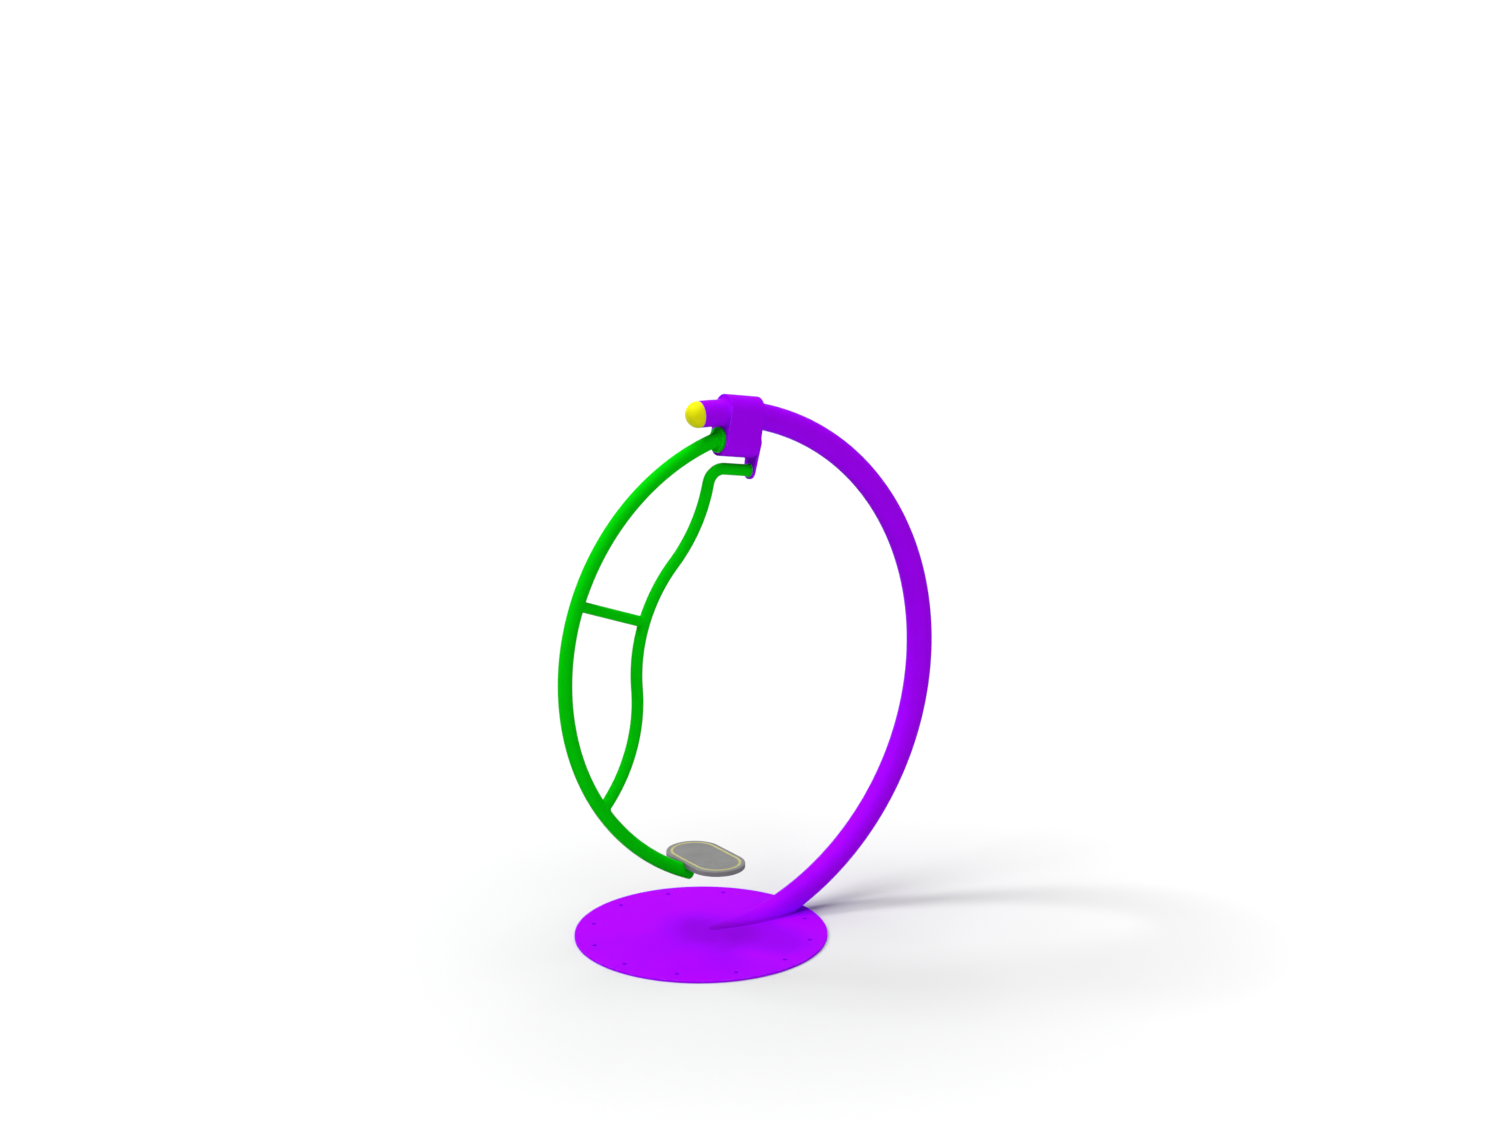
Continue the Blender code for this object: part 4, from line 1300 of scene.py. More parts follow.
        post = self.post
        foot = post.meet(gap, LATE * post.route.length, post.route.length)
        line = post.skin(foot, post.turn)
        line[:, 2] = self.plate_top
        skin = post.closed(Skin("bent_post"), post.flat_end(0.0), foot, below=line)
        # the post's lowest millimetres carry painted shade, for the crease where it meets the plate
        skin.piece(Body.STAND, [SHADED_PURPLE], ["post"])
        return line

    def make_cap(self) -> None:
        """The domed cap: a half circle turned round the post's end, with a lip, and hollow inside."""
        top = self.post.route.at(np.zeros(1))[0][0]
        seat = Seat(top, LEVEL.w, ACROSS, -LEVEL.u)
        turn = quarter(self.cap_rows)
        radius, lip, end = self.post_radius, self.cap_lip, self.cap_spigot
        spigot = radius - self.spigot_inset
        hollow = spigot - self.cap_wall
        rise, inset = (share * lip for share in self.cap_bevel)
        outer = np.stack([WELD_GAP + lip + (radius - lip) * np.cos(turn), radius * np.sin(turn)], -1)
        inner = np.stack([(hollow - lip) * np.sin(turn), hollow * np.cos(turn)], -1)
        rest = [
            (WELD_GAP + rise, radius), (WELD_GAP, radius - inset), (WELD_GAP, spigot),
            (lip - end, spigot), (-end, spigot - lip), (-end, hollow),
        ]
        profile = np.concatenate([outer, rest, inner])
        Skin("post_dome_cap").lay(turned(seat, profile)).piece(Body.STAND, [YELLOW], ["post_cap"])


@dataclass
class BearingHead:
    """The fixed weldment on the post that holds the bearings."""

    tilt: Seat
    stand: GroundStand
    half_length: float = 0.070
    wrap_radius: float = 0.056
    wrap_wall: float = 0.005
    wrap_span: float = 0.106
    post_drop: float = 0.0975
    plate_thickness: float = 0.008
    sleeve_radius: float = 0.045
    edge_round: float = 0.0018
    seam: float = 0.0009
    seam_wear: float = 0.3
    post_overlap: float = 0.002
    post_bead: WeldBead = WeldBead(0.0040, 0.0048)
    belt_sides: int = 256
    side_steps: int = 9
    arc_steps: int = 97
    across_steps: int = 25
    face_rows: int = 5

    def build(self, frame: Mapping[str, Any]) -> None:
        """Makes and dresses every piece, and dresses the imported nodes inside.

        Args:
            frame: The loaded frame.
        """
        self.make_wrapper()
        for side in Side:
            self.make_end_plate(side)
            self.make_post_weld(side)
        ends = [side.label for side in Side]
        rings = ("bearing_outer_ring", "bearing_inner_ring", "snap_ring", "distance_ring")
        dress_nodes(frame, ZINC, ["bearing_sleeve", "bearing_spacer", "grip_plug"])
        dress_nodes(frame, STEEL, [*(f"{ring}_{end}" for ring in rings for end in ends), "stop_pin"])
        dress_nodes(frame, BRASS, [f"ball_cage_{end}" for end in ends])
        dress_nodes(frame, RUBBER, [f"lip_seal_{end}" for end in ends])

    def make_wrapper(self) -> None:
        """The obround wrapper: a belt round the post and the sleeve, with rounded outer edges."""
        radius, half, wall, seam = self.wrap_radius, self.half_length, self.wrap_wall, self.seam
        belt = Belt(((0.0, 0.0, radius), (0.0, self.wrap_span, radius)), self.belt_sides)
        outer = rounded_side(-half, half, self.edge_round, self.edge_round)[1:-1]
        inner = [
            (wall - seam, half, self.seam_wear), (wall, half - seam, 0.0),
            (wall, seam - half, 0.0), (wall - seam, -half, self.seam_wear),
        ]
        profile = np.concatenate([outer, inner])
        skin = Skin("head_shell").lay(belt.rows(self.tilt, profile), wrap_rows=True, edge=profile[:, 2])
        skin.piece(Body.STAND, [PURPLE], ["head_wrapper"])

    @property
    def divide(self) -> float:
        """The height of the line between the sleeve's hole and the post's, above the shaft."""
        return (self.sleeve_radius + self.post_drop - self.stand.post_radius) / 2.0

    def half_border(self, inset: float, rise: float) -> tuple[Array, int]:
        """The lower half of an end plate's border, from its left side round to its dividing line.

        Args:
            inset: How far the border is drawn in.
            rise: How far the half's straight sides run up to the dividing line.

        Returns:
            The border's points and how many of them lie on the outline.
        """
        radius = self.wrap_radius - self.wrap_wall - WELD_GAP - inset
        height = np.linspace(0.0, rise, self.side_steps)
        side = np.full(self.side_steps, radius)
        turn = np.linspace(np.pi, 2.0 * np.pi, self.arc_steps)
        row = np.linspace(radius, -radius, self.across_steps)[1:-1]
        outline = np.concatenate([
            np.stack([-side, height[::-1]], -1)[:-1],
            radius * np.stack([np.cos(turn), np.sin(turn)], -1),
            np.stack([side, height], -1)[1:],
        ])
        across = np.stack([row, np.full(len(row), rise)], -1)
        return np.concatenate([outline, across]), len(outline)

    def halves(self, inset: float) -> tuple[Array, Array, int]:
        """Both halves of an end plate's border, the upper one mirrored.

        Args:
            inset: How far the border is drawn in.

        Returns:
            The lower half's points, the upper half's, and how many of each lie on the outline.
        """
        lower, length = self.half_border(inset, self.divide)
        upper, _ = self.half_border(inset, self.wrap_span - self.divide)
        return lower, upper * [1.0, -1.0] + [0.0, self.wrap_span], length

    def make_end_plate(self, side: Side) -> None:
        """One end plate, with a hole for the sleeve and one inside the post's wall.

        Each half of a face is ruled from its hole's edge to its border, and each hole is ruled from the
        outer face to the inner one. The post's hole sags with its bend, by along^2 / (2 bend).

        Args:
            side: The end of the head.
        """
        out = side.value * self.half_length
        back = out - side.value * self.plate_thickness
        skin = Skin(f"head_end_plate_{side.label}_face")
        share = np.linspace(0.0, 1.0, self.face_rows)[:, None, None]
        edges: list[Array] = []
        walls: list[list[Array]] = [[], []]
        for along, inset in ((out, self.seam), (out - side.value * self.seam, 0.0), (back, 0.0)):
            lower, upper, length = self.halves(inset)
            loop = np.concatenate([lower[: length - 1], upper[:length][::-1][:-1]])
            edges.append(self.tilt.flat(loop, along))
            if along not in (out, back):
                continue
            post_middle = self.post_drop - along**2 / (2.0 * self.stand.post_bend)
            holes = (
                (lower, [0.0, 0.0], self.sleeve_radius + WELD_GAP),
                (upper, [0.0, post_middle], self.stand.post_radius - self.post_overlap),
            )
            for (points, middle, radius), wall in zip(holes, walls):
                way = points - middle
                hole = middle + radius * way / np.linalg.norm(way, axis=1, keepdims=True)
                face = (1.0 - share) * hole + share * points
                skin.lay(self.tilt.flat(face, along))
                wall.append(self.tilt.flat(hole, along))
        skin.lay(np.stack(edges))
        for wall in walls:
            skin.lay(np.stack(wall))
        skin.piece(Body.STAND, [PURPLE], [f"head_end_plate_{side.label}"])

    def make_post_weld(self, side: Side) -> None:
        """The weld where the post passes through an end plate's face.

        The post is inside the head at the place where it runs along the shaft, and outside it at its top
        end and as far again on the other side.

        Args:
            side: The end of the head.
        """
        post = self.stand.post
        gap = self.tilt.past(side.value * self.half_length, side.value)
        middle = self.stand.post_bend * math.acos(self.tilt.w[0])
        line = post.skin(post.meet(gap, (1.0 + side.value) * middle, middle), post.turn)
        self.post_bead.along(Skin(f"post_weld_{side.label}"), line).piece(Body.STAND, [PURPLE])


@dataclass
class SwingLink:
    """The turned and bolted pieces at both ends of the shaft."""

    tilt: Seat
    lever: float = 0.100
    hub_in: float = -0.071
    hub_out: float = -0.083
    hub_radius: float = 0.044
    hub_round: float = 0.0022
    hub_reach: float = 0.010
    hub_sides: int = 144
    plate_in: float = 0.074
    plate_out: float = 0.084
    plate_top_radius: float = 0.042
    plate_low_radius: float = 0.0311
    plate_round: float = 0.0014
    plate_reach: float = 0.006
    plate_sides: int = 240
    shaft_radius: float = 0.020
    shaft_soft: float = 0.0006
    shaft_sunk: float = 0.0077
    tenon_radius: float = 0.012
    stud_radius: float = 0.010
    stud_end: float = 0.108
    stud_point: float = 0.0016
    thread_pitch: float = 0.0025
    thread_depth: float = 0.0011
    thread_flank: Span = (1.25, 0.12)   # slope of the wave, and what its crest loses
    thread_rows: int = 118
    thread_sides: int = 60
    washer_thickness: float = 0.003
    washer_rim: float = 0.011
    washer_round: float = 0.0005
    washer_reach: float = 0.0015
    nut_flats: float = 0.030
    nut_height: float = 0.016
    nut_hex_share: float = 0.70
    collar_share: float = 0.455
    collar_mouth: float = 0.40
    collar_round: float = 0.0016
    lock_ring_drop: float = 0.0008
    lock_ring_bevel: float = 0.0004
    bolt_radius: float = 0.008
    bolt_flats: float = 0.024
    bolt_head: float = 0.010
    bolt_length: float = 0.038
    bolt_tip: float = 0.0008

    @property
    def grip_seat(self) -> Seat:
        """The seat of the grip tube's bolt, one lever below the shaft."""
        return self.tilt.moved(v=-self.lever)

    @property
    def washer_top(self) -> float:
        """Where the nut and the bolt's head begin, along the shaft."""
        return self.plate_out + 2.0 * WELD_GAP + self.washer_thickness

    def build(self) -> None:
        """Makes and dresses every piece."""
        self.make_hub()
        self.make_plate()
        self.make_shaft()
        self.make_washer("shaft_washer", self.tilt, self.stud_radius)
        self.make_washer("grip_washer", self.grip_seat, self.bolt_radius)
        self.make_nut()
        self.make_bolt()

    def make_hub(self) -> None:
        """The hub disc: a flat disc with rounded rims, turned round the shaft."""
        side = rounded_side(self.hub_out, self.hub_in, self.hub_round, self.hub_reach)
        profile = [(self.hub_out, 0.0), *rim(side, self.hub_radius), (self.hub_in, 0.0)]
        grid = turned(self.tilt, profile, self.hub_sides)
        skin = Skin("hub_disc").lay(grid, edge=[0.0, *side[:, 2], 0.0])
        skin.piece(Body.SWING, [GREEN], ["hub_flange"])

    def make_plate(self) -> None:
        """The swing plate: a belt round the shaft's boss and the grip tube's, with rounded edges."""
        bosses = ((0.0, 0.0, self.plate_top_radius), (0.0, -self.lever, self.plate_low_radius))
        profile = rounded_side(self.plate_in, self.plate_out, self.plate_round, self.plate_reach)
        skin = Belt(bosses, self.plate_sides).slab(Skin("swing_lever"), self.tilt, profile)
        skin.piece(Body.SWING, [PURPLE], ["swing_plate"])

    def make_shaft(self) -> None:
        """The shaft with its threaded stud.

        The thread's radius falls by its depth as a triangle wave of (along / pitch - turn / full turn),
        so its crest climbs one pitch in a turn, and a cone takes the thread down at the stud's end.
        """
        turn = full_turn(self.thread_sides)
        body, soft, neck = self.shaft_radius, self.shaft_soft, self.tenon_radius
        left = self.hub_in - self.shaft_sunk
        shoulder, tenon = self.plate_in - WELD_GAP, self.plate_out - WELD_GAP
        plain = np.array([
            (left, 0.0), (left, body - soft), (left + soft, body),
            (shoulder, body), (shoulder, neck), (tenon, neck),
        ])
        along = np.linspace(tenon, self.stud_end, self.thread_rows)[:, None]
        wave = np.abs(2.0 * ((along / self.thread_pitch - turn / (2.0 * np.pi)) % 1.0) - 1.0)
        steep, crest = self.thread_flank
        radius = self.stud_radius - self.thread_depth * np.clip(steep * wave - crest, 0.0, 1.0)
        radius = np.minimum(radius, self.stud_radius - self.stud_point + (self.stud_end - along))
        spread = np.ones((1, len(turn)))
        radius = np.concatenate([plain[:, 1:] * spread, radius, 0.0 * spread])
        along = np.concatenate([plain[:, :1], along, [[self.stud_end]]]) * spread
        grid = self.tilt.at(radius * np.cos(turn), radius * np.sin(turn), along)
        Skin("shaft_and_stud").lay(grid).piece(Body.SWING, [STEEL], ["pivot_shaft"])

    def make_washer(self, node: str, seat: Seat, shank: float) -> None:
        """A washer: a rounded ring turned round a bolt.

        Args:
            node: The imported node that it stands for.
            seat: The bolt's seat.
            shank: The bolt's radius.
        """
        low, bore = self.plate_out + WELD_GAP, shank + WELD_GAP
        high = low + self.washer_thickness
        side = rounded_side(low, high, self.washer_round, self.washer_reach)
        profile = [*rim(side, bore + self.washer_rim), (high, bore), (low, bore)]
        grid = turned(seat, profile, BOLT_SIDES)
        skin = Skin(f"{node}_disc").lay(grid, wrap_rows=True, edge=[*side[:, 2], 0.0, 0.0])
        skin.piece(Body.SWING, [ZINC], [node])

    def make_nut(self) -> None:
        """The lock nut: a hexagon under a round collar that holds a nylon ring."""
        low, bore, soft = self.washer_top, self.stud_radius + WELD_GAP, self.collar_round
        high, waist = low + self.nut_height, low + self.nut_hex_share * self.nut_height
        collar, mouth = self.collar_share * self.nut_flats, self.collar_mouth * self.nut_flats
        ring = high - self.lock_ring_drop
        turn = quarter()[1:]
        bend = np.stack([high - soft + soft * np.sin(turn), collar - soft + soft * np.cos(turn)], -1)
        cap = [
            (waist, collar), (high - soft, collar), *bend,
            (high, mouth), (ring, mouth - self.lock_ring_bevel), (ring, bore),
        ]
        rows = hexagon_rows(self.tilt, self.nut_flats, low, waist, bore, True)[:-1]
        grid = np.concatenate([rows, turned(self.tilt, cap, BOLT_SIDES)])
        layer = np.zeros(len(grid), int)
        layer[-3:-1] = 1   # the collar's mouth shows the nylon ring
        skin = Skin("shaft_lock_nut").lay(grid, wrap_rows=True, layer=layer)
        skin.piece(Body.SWING, [ZINC, NYLON], ["shaft_nut"])

    def make_bolt(self) -> None:
        """The grip tube's bolt: a hexagon head on a plain shank."""
        low, radius, tip = self.washer_top, self.bolt_radius, self.bolt_tip
        high, end = low + self.bolt_head, low - self.bolt_length
        head = hexagon_rows(self.grip_seat, self.bolt_flats, low, high, radius, False)
        shank = turned(self.grip_seat, [(end, 0.0), (end, radius - tip), (end + tip, radius)], BOLT_SIDES)
        face = turned(self.grip_seat, [(high, 0.0)], BOLT_SIDES)
        skin = Skin("grip_hex_bolt").lay(np.concatenate([shank, head, face]))
        skin.piece(Body.SWING, [ZINC], ["grip_bolt"])


@dataclass
class TubeFrame:
    """The green weldment: hanger, grip tube and cross brace, with their welds."""

    tilt: Seat
    link: SwingLink
    hanger_radius: float = 0.0254
    hanger_wall: float = 0.0032
    hanger_bend: float = 0.832
    hanger_leave: float = math.radians(24.8)
    hanger_sweep: float = math.radians(141.3)
    hanger_root: float = 0.030
    hanger_tail: float = 0.010
    grip_radius: float = 0.0211
    grip_run: float = 0.105
    elbow_bend: float = 0.057
    elbow_sweep: float = math.radians(87.6)
    grip_bend: float = 0.554
    upper_sweep: float = math.radians(31.8)
    middle_sweep: float = math.radians(48.6)
    lower_sweep: float = math.radians(60.0)
    brace_radius: float = 0.01905
    brace_angle: float = math.radians(159.4)
    brace_length: float = 0.35
    plug_thickness: float = 0.006
    plug_inset: float = 0.001
    # depth below the plug's face and inset from the bore, from the rim inwards
    plug_face: tuple[Span, ...] = ((0.0012, 0.0), (0.0003, 0.0009), (0.0004, 0.0035), (0.0, 0.0050))
    hanger_clear: float = 0.12
    grip_step: float = 0.007
    hub_bead: WeldBead = WeldBead(0.0058, 0.0050)
    hanger_bead: WeldBead = WeldBead()
    lever_bead: WeldBead = WeldBead(0.0030)
    brace_bead: WeldBead = WeldBead(0.0032)

    @property
    def back(self) -> float:
        """The heading from the head along the shaft towards the rider's side."""
        return math.atan2(-self.tilt.w[2], -self.tilt.w[0])

    @cached_property
    def hanger(self) -> Tube:
        """The hanger: a short root inside the hub's face, one long bend and a short tail.

        Returns:
            The tube, from inside the hub to its open end.
        """
        heading = self.back + self.hanger_leave
        face = self.tilt.at(0.0, 0.0, self.link.hub_out)
        root, bend = self.hanger_root, self.hanger_bend
        start = (face[0] - root * math.cos(heading), face[2] - root * math.sin(heading))
        legs = ((root, 0.0), (bend * self.hanger_sweep, 1.0 / bend), (self.hanger_tail, 0.0))
        return Tube(Route(start, heading, legs), self.hanger_radius)

    @property
    def hanger_arc(self) -> Bend:
        """The circle of the hanger's long bend."""
        return self.hanger.route.bend(1)

    @property
    def grip_arc(self) -> Bend:
        """The circle of the grip tube's middle bend."""
        return self.grip.route.bend(3)

    @cached_property
    def grip(self) -> Tube:
        """The grip tube: a straight from the swing plate, an elbow and three long easy bends.

        Returns:
            The tube, from the swing plate to beyond the hanger.
        """
        start = self.link.grip_seat.at(0.0, 0.0, self.link.plate_in - WELD_GAP)
        elbow, bend = self.elbow_bend, self.grip_bend
        legs = (
            (self.grip_run, 0.0), (elbow * self.elbow_sweep, 1.0 / elbow),
            (bend * self.upper_sweep, -1.0 / bend), (bend * self.middle_sweep, 1.0 / bend),
            (bend * self.lower_sweep, -1.0 / bend),
        )
        return Tube(Route((start[0], start[2]), self.back, legs), self.grip_radius, step=self.grip_step)

    @cached_property
    def brace(self) -> Tube:
        """The cross brace: straight along a spoke of the hanger's bend.

        Returns:
            The tube, from the hanger's line to beyond the grip tube.
        """
        arc, angle = self.hanger_arc, self.brace_angle
        start = arc.centre + arc.radius * np.array([math.cos(angle), 0.0, math.sin(angle)])
        route = Route((start[0], start[2]), angle + math.pi, ((self.brace_length, 0.0),))
        return Tube(route, self.brace_radius)

    def build(self) -> None:
        """Makes and dresses every piece."""
        self.make_hanger()
        self.make_grip()
        self.make_brace()

    def weld(self, name: str, tube: Tube, end: Array, bead: WeldBead) -> None:
        """A weld round a tube's trimmed end."""
        bead.along(Skin(name), tube.skin(end, tube.turn)).piece(Body.SWING, [GREEN])

    def make_hanger(self) -> None:
        """The hanger, trimmed on the hub's face, with its weld and the plug in its open end."""
        tube = self.hanger
        length = tube.route.length
        first = tube.meet(self.tilt.past(self.link.hub_out + WELD_GAP, -1.0), self.hanger_clear, 0.0)
        skin = tube.closed(Skin("hanger_bent_tube"), first, tube.flat_end(length), self.hanger_wall)
        skin.piece(Body.SWING, [GREEN], ["hanger_tube"])
        self.weld("hub_weld", tube, first, self.hub_bead)
        place, along, side = (part[0] for part in tube.route.at(np.array([length])))
        bore = self.hanger_radius - self.hanger_wall - WELD_GAP
        out, back = -self.plug_inset, -self.plug_inset - self.plug_thickness
        face = [(out - sunk, bore - inset) for sunk, inset in self.plug_face]
        profile = [(back, 0.0), (back, bore), *face, (out, 0.0)]
        plug = turned(Seat(place, side, ACROSS, along), profile, BOLT_SIDES)
        Skin("hanger_plug").lay(plug).piece(Body.SWING, [RUBBER], ["hanger_end_plug"])

    def make_grip(self) -> None:
        """The grip tube, mitred on the hanger's side, with a weld at each end."""
        tube, arc = self.grip, self.hanger_arc
        begun = float(tube.route.table[0, -1])
        s = np.linspace(begun, tube.route.length, SEARCH_STEPS)
        crossed = np.argmax(np.linalg.norm(tube.route.at(s)[0] - arc.centre, axis=1) > arc.radius)
        first = tube.flat_end(0.0)
        last = tube.meet(arc.outside(self.hanger_radius - SINK), begun, float(s[crossed]))
        tube.closed(Skin("grip_bent_tube"), first, last).piece(Body.SWING, [GREEN], ["grip_tube"])
        self.weld("grip_hanger_weld", tube, last, self.hanger_bead)
        self.weld("grip_plate_weld", tube, first, self.lever_bead)

    def make_brace(self) -> None:
        """The cross brace, mitred on the hanger and on the grip tube, with both welds."""
        tube = self.brace
        s = np.linspace(0.0, tube.route.length, SEARCH_STEPS)
        crossed = float(s[np.argmin(self.grip_arc.away(tube.route.at(s)[0]))])
        first = tube.meet(self.hanger_arc.outside(self.hanger_radius - SINK), crossed / 2.0, 0.0)
        last = tube.meet(self.grip_arc.outside(self.grip_radius - SINK), crossed / 2.0, crossed)
        tube.closed(Skin("cross_brace_tube"), first, last).piece(Body.SWING, [GREEN], ["cross_brace"])
        self.weld("brace_hanger_weld", tube, first, self.brace_bead)
        self.weld("brace_grip_weld", tube, last, self.brace_bead)


@dataclass
class FootRest:
    """The footboard with its routed line, the plate under it and its bolts."""

    tubes: TubeFrame
    board_sides: int = 240
    board_reach: float = 0.012
    edge_round: float = 0.004
    groove_inset: float = 0.0145
    groove_width: float = 0.0100
    groove_depth: float = 0.002
    groove_slope: float = 0.0022
    groove_lip: float = 0.0010
    groove_dip: float = 0.0001
    groove_wear: float = 0.6
    scallop: float = 0.0012
    mount_corner: float = 0.018
    mount_round: float = 0.0011
    mount_reach: float = 0.005
    mount_bead: WeldBead = WeldBead(0.0034)
    bead_turn: float = 1.5
    bead_steps: int = 121
    bead_short: float = 0.001
    bolt_count: int = 4
    bolt_flats: float = 0.017
    bolt_flange: float = 0.0115
    bolt_lip: float = 0.002
    bolt_cone: float = 0.0094
    bolt_soft: float = 0.0004
    bolt_shank: float = 0.005
    bolt_tip: float = 0.0008

    def build(self) -> None:
        """Makes and dresses every piece."""
        self.make_board()
        self.make_mount()
        for k in range(self.bolt_count):
            self.make_bolt(f"footboard_bolt_{k + 1}")

    def make_board(self) -> None:
        """The board: a belt round two circles, with a rounded edge and a groove along its rim."""
        low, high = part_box("footboard")
        radius = (high.x - low.x) / 2.0
        half = (high.y - low.y) / 2.0 - radius
        middle = (high.x + low.x) / 2.0
        belt = Belt(((middle, -half, radius), (middle, half, radius)), self.board_sides)
        side = rounded_side(low.z, high.z, self.edge_round, self.board_reach)
        near, far = self.groove_inset, self.groove_inset + self.groove_width
        top, rise, floor = high.z, high.z - self.groove_dip, high.z - self.groove_depth
        lip, slope, wear = self.groove_lip, self.groove_slope, self.groove_wear
        line = [
            (near - lip, top, 0.0), (near, rise, wear), (near + slope, floor, 0.0),
            (far - slope, floor, 0.0), (far, rise, wear), (far + lip, top, 0.0),
        ]
        profile = np.concatenate([side, line])
        layer = np.zeros(len(profile) + 1, int)
        layer[len(side) + 2:len(side) + 5] = 1   # the groove's floor and slopes show the core
        board = belt.slab(Skin("foot_board"), LEVEL, profile, layer).loose([BOARD, CORE])
        self.cut_scallop(board)
        settle(board, Body.SWING, ["footboard"])

    def cut_scallop(self, board: bpy.types.Object) -> None:
        """Takes the hanger's room out of the board's edge.

        Args:
            board: The board's object.
        """
        tube = replace(self.tubes.hanger, radius=self.tubes.hanger_radius + self.scallop)
        ends = (tube.flat_end(share * tube.route.length) for share in (LATE, 1.0))
        cutter = tube.closed(Skin("scallop_cutter"), *ends).loose([BOARD])
        cut = board.modifiers.new("scallop", "BOOLEAN")
        cut.operation, cut.solver, cut.object = "DIFFERENCE", "EXACT", cutter
        bpy.context.view_layer.update()
        whole = board.data
        finished = board.evaluated_get(bpy.context.evaluated_depsgraph_get())
        board.data = bpy.data.meshes.new_from_object(finished)
        board.modifiers.clear()
        bpy.data.meshes.remove(whole)
        bpy.data.objects.remove(cutter)

    def make_mount(self) -> None:
        """The plate under the board, and its weld along the line where the hanger passes into it."""
        low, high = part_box("footboard_mount")
        corner = self.mount_corner
        across, along = ((a + corner, b - corner) for a, b in ((low.x, high.x), (low.y, high.y)))
        belt = Belt(tuple((x, y, corner) for x in across for y in along))
        profile = rounded_side(low.z, high.z, self.mount_round, self.mount_reach)
        belt.slab(Skin("board_mount_plate"), LEVEL, profile).piece(Body.SWING, [GREEN], ["footboard_mount"])
        tube = self.tubes.hanger
        length = tube.route.length
        turn = np.linspace(-self.bead_turn, self.bead_turn, self.bead_steps)
        s = tube.meet(LEVEL.past(low.z, -1.0), length, LATE * length, turn)
        line = tube.skin(s, turn)
        shown = (line[:, 0] > low.x) & (s < length - self.bead_short)
        skin = self.mount_bead.along(Skin("mount_weld"), line[shown], closed=False)
        skin.piece(Body.SWING, [GREEN])

    def make_bolt(self, node: str) -> None:
        """One flange bolt: a hexagon under a thin round flange, with its shank up into the board.

        Args:
            node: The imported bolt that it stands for.
        """
        low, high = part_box(node)
        seat = LEVEL.moved(u=(low.x + high.x) / 2.0, v=(low.y + high.y) / 2.0)
        top, bottom = WELD_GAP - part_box("footboard_mount")[0].z, -low.z
        under, end = top + self.bolt_lip, -high.z
        soft, tip, flange, shank = self.bolt_soft, self.bolt_tip, self.bolt_flange, self.bolt_shank
        down = Seat(seat.origin, seat.v, seat.u, -seat.w)
        head = hexagon_rows(down, self.bolt_flats, under - soft, bottom, 0.0, False)[::-1][:-2]
        rest = [
            (under - soft, self.bolt_cone), (under, flange - soft), (under + soft, flange), (top, flange),
            (top, shank), (end + tip, shank), (end, shank - tip), (end, 0.0),
        ]
        grid = np.concatenate([head, turned(down, rest, BOLT_SIDES)])
        Skin(f"{node}_hex").lay(grid).piece(Body.SWING, [ZINC], [node])


@dataclass(frozen=True)
class Lamp:
    """A distant lamp: its strength, the angle that it fills in the sky, and where it stands.

    The height is above the horizon and the turn is from +X towards +Y, both in degrees.
    """

    name: str
    energy: float
    spread: float
    height: float
    turn: float

    def hang(self) -> None:
        """Puts the lamp in the scene, shining at the origin."""
        data = bpy.data.lights.new(self.name, "SUN")
        data.energy, data.angle = self.energy, math.radians(self.spread)
        lamp = bpy.data.objects.new(self.name, data)
        lamp.rotation_euler = (0.0, math.radians(90.0 - self.height), math.radians(self.turn))
        bpy.context.scene.collection.objects.link(lamp)


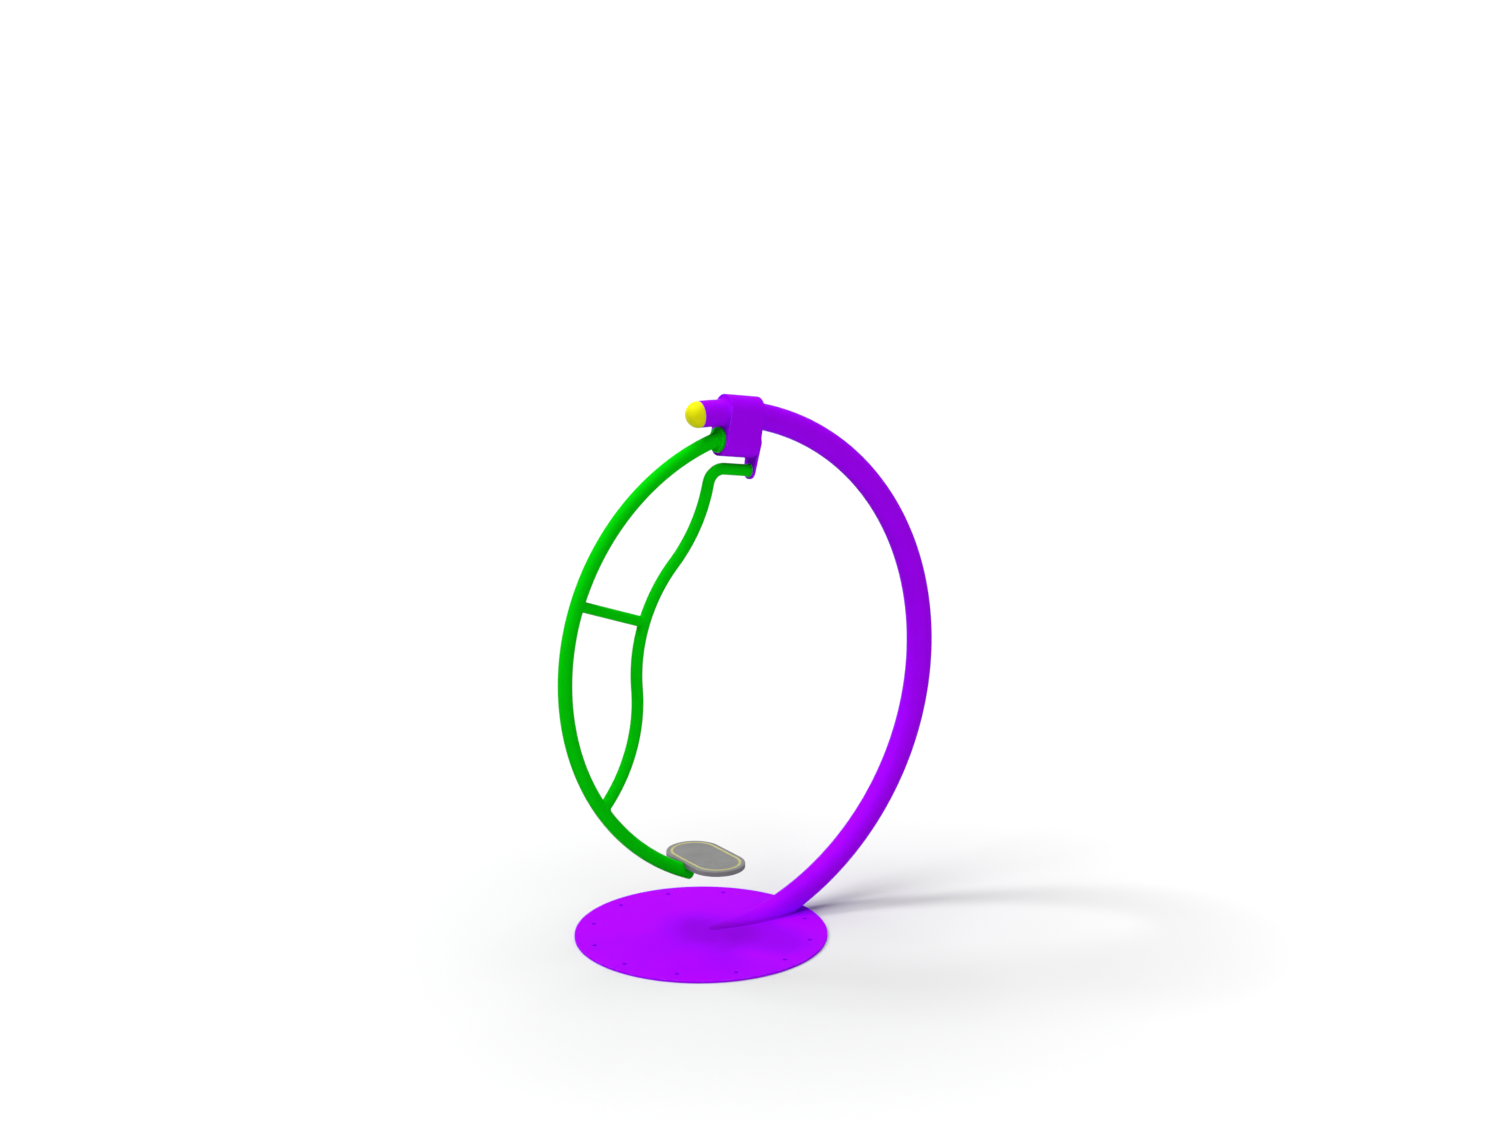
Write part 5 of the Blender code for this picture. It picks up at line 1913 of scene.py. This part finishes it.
@dataclass
class Studio:
    """The pale floor with a painted shadow round the object, the soft light and the camera at the
    photograph's angle.
    """

    floor_half: float = 120.0
    eye: tuple[float, float, float] = (-5.0833, -7.8785, 3.75715)
    pitch: float = math.radians(14.191)
    azimuth: float = math.radians(-33.912)
    lens: float = 66.39
    sensor: float = 36.0
    sky: float = 0.01
    lamps: tuple[Lamp, ...] = (
        Lamp("key", energy=1.48, spread=15.0, height=49.0, turn=132.0),
        Lamp("front", energy=1.19, spread=36.0, height=12.0, turn=-90.0),
        Lamp("left", energy=0.93, spread=24.0, height=27.0, turn=180.0),
        Lamp("back", energy=0.70, spread=36.0, height=42.0, turn=45.0),
        Lamp("top", energy=1.53, spread=36.0, height=88.0, turn=0.0),
        Lamp("high", energy=0.36, spread=30.0, height=68.0, turn=180.0),
    )
    far_clip: float = 500.0
    # painted shadow: the floor's grey is darker near this middle and eases to its pale grey over this reach
    painted_shadow_middle: tuple[float, float, float] = (0.24, -0.26, 0.0)
    painted_shadow_reach: Span = (0.25, 2.2)
    floor_painted_shadow: float = 0.675
    floor_pale: float = 0.80
    floor_bounce: float = 0.50
    floor_rough: float = 0.95

    def build(self) -> None:
        """Makes the stage, the light and the camera."""
        self.make_camera()
        self.make_floor()
        self.make_light()

    def make_camera(self) -> None:
        """The camera: level, pitched down, with no shift and no depth of field."""
        data = bpy.data.cameras.new("photo_camera")
        data.sensor_fit, data.sensor_width, data.lens = "HORIZONTAL", self.sensor, self.lens
        data.clip_end = self.far_clip
        camera = bpy.data.objects.new("photo_camera", data)
        camera.location = self.eye
        camera.rotation_euler = (math.pi / 2.0 - self.pitch, 0.0, self.azimuth)
        bpy.context.scene.collection.objects.link(camera)
        bpy.context.scene.camera = camera

    def seen(self, shader: Shader) -> Wire:
        """Which rays see the pale background: the camera's, and those that metal or glass sends on.

        Args:
            shader: The shader that takes the nodes.

        Returns:
            1 for such rays and 0 for the rest.
        """
        kinds = ("Is Camera Ray", "Is Glossy Ray", "Is Transmission Ray")
        camera, glossy, through = (shader.node("ShaderNodeLightPath", out=kind) for kind in kinds)
        return (camera + glossy + through).smaller(1.0)

    def make_floor(self) -> None:
        """A flat floor, almost white to the eye and a quieter grey to the light that it gives back, with a
        painted shadow: darker near the object.
        """
        half = self.floor_half
        row = np.array([-half, half])
        grid = LEVEL.at(row[None, :], row[:, None], 0.0)
        floor = Skin("floor").lay(grid, wrap_columns=False).loose()
        shader = Shader(bpy.data.materials.new("pale_floor"))
        # painted shadow: the grey seen on the floor is darker near the object
        spots = {0: shader.places, 1: self.painted_shadow_middle}
        away = shader.node("ShaderNodeVectorMath", {"operation": "DISTANCE"}, spots, "Value")
        pale = shader.mix(away.ease(*self.painted_shadow_reach), grey(self.floor_painted_shadow), grey(self.floor_pale))
        colour = shader.mix(self.seen(shader), grey(self.floor_bounce), pale)
        sockets = {"Base Color": colour, "Roughness": self.floor_rough, "Specular IOR Level": 0.0}
        shader.dress("ShaderNodeBsdfPrincipled", sockets)
        floor.data.materials.append(shader.owner)

    def make_light(self) -> None:
        """An even white sky and the lamps: a small key, which draws the shadow, among large soft ones."""
        world = bpy.data.worlds.new("studio_sky")
        shader = Shader(world)
        shown = self.seen(shader)
        strength = shown + (1.0 - shown) * self.sky
        shader.dress("ShaderNodeBackground", {"Color": grey(1.0), "Strength": strength})
        bpy.context.scene.world = world
        for lamp in self.lamps:
            lamp.hang()
        bpy.context.scene.view_settings.view_transform = "Standard"


def main() -> None:
    logging.basicConfig(level=logging.INFO, format="%(name)s: %(message)s")
    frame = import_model()
    Studio().build()
    swing = next(joint for joint in frame["joints"] if joint["name"] == "swing")
    tilt = tilted_seat(swing)
    stand = GroundStand()
    stand.build()
    BearingHead(tilt, stand).build(frame)
    link = SwingLink(tilt)
    link.build()
    tubes = TubeFrame(tilt, link)
    tubes.build()
    FootRest(tubes).build()
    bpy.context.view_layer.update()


if __name__ == "__main__":
    main()
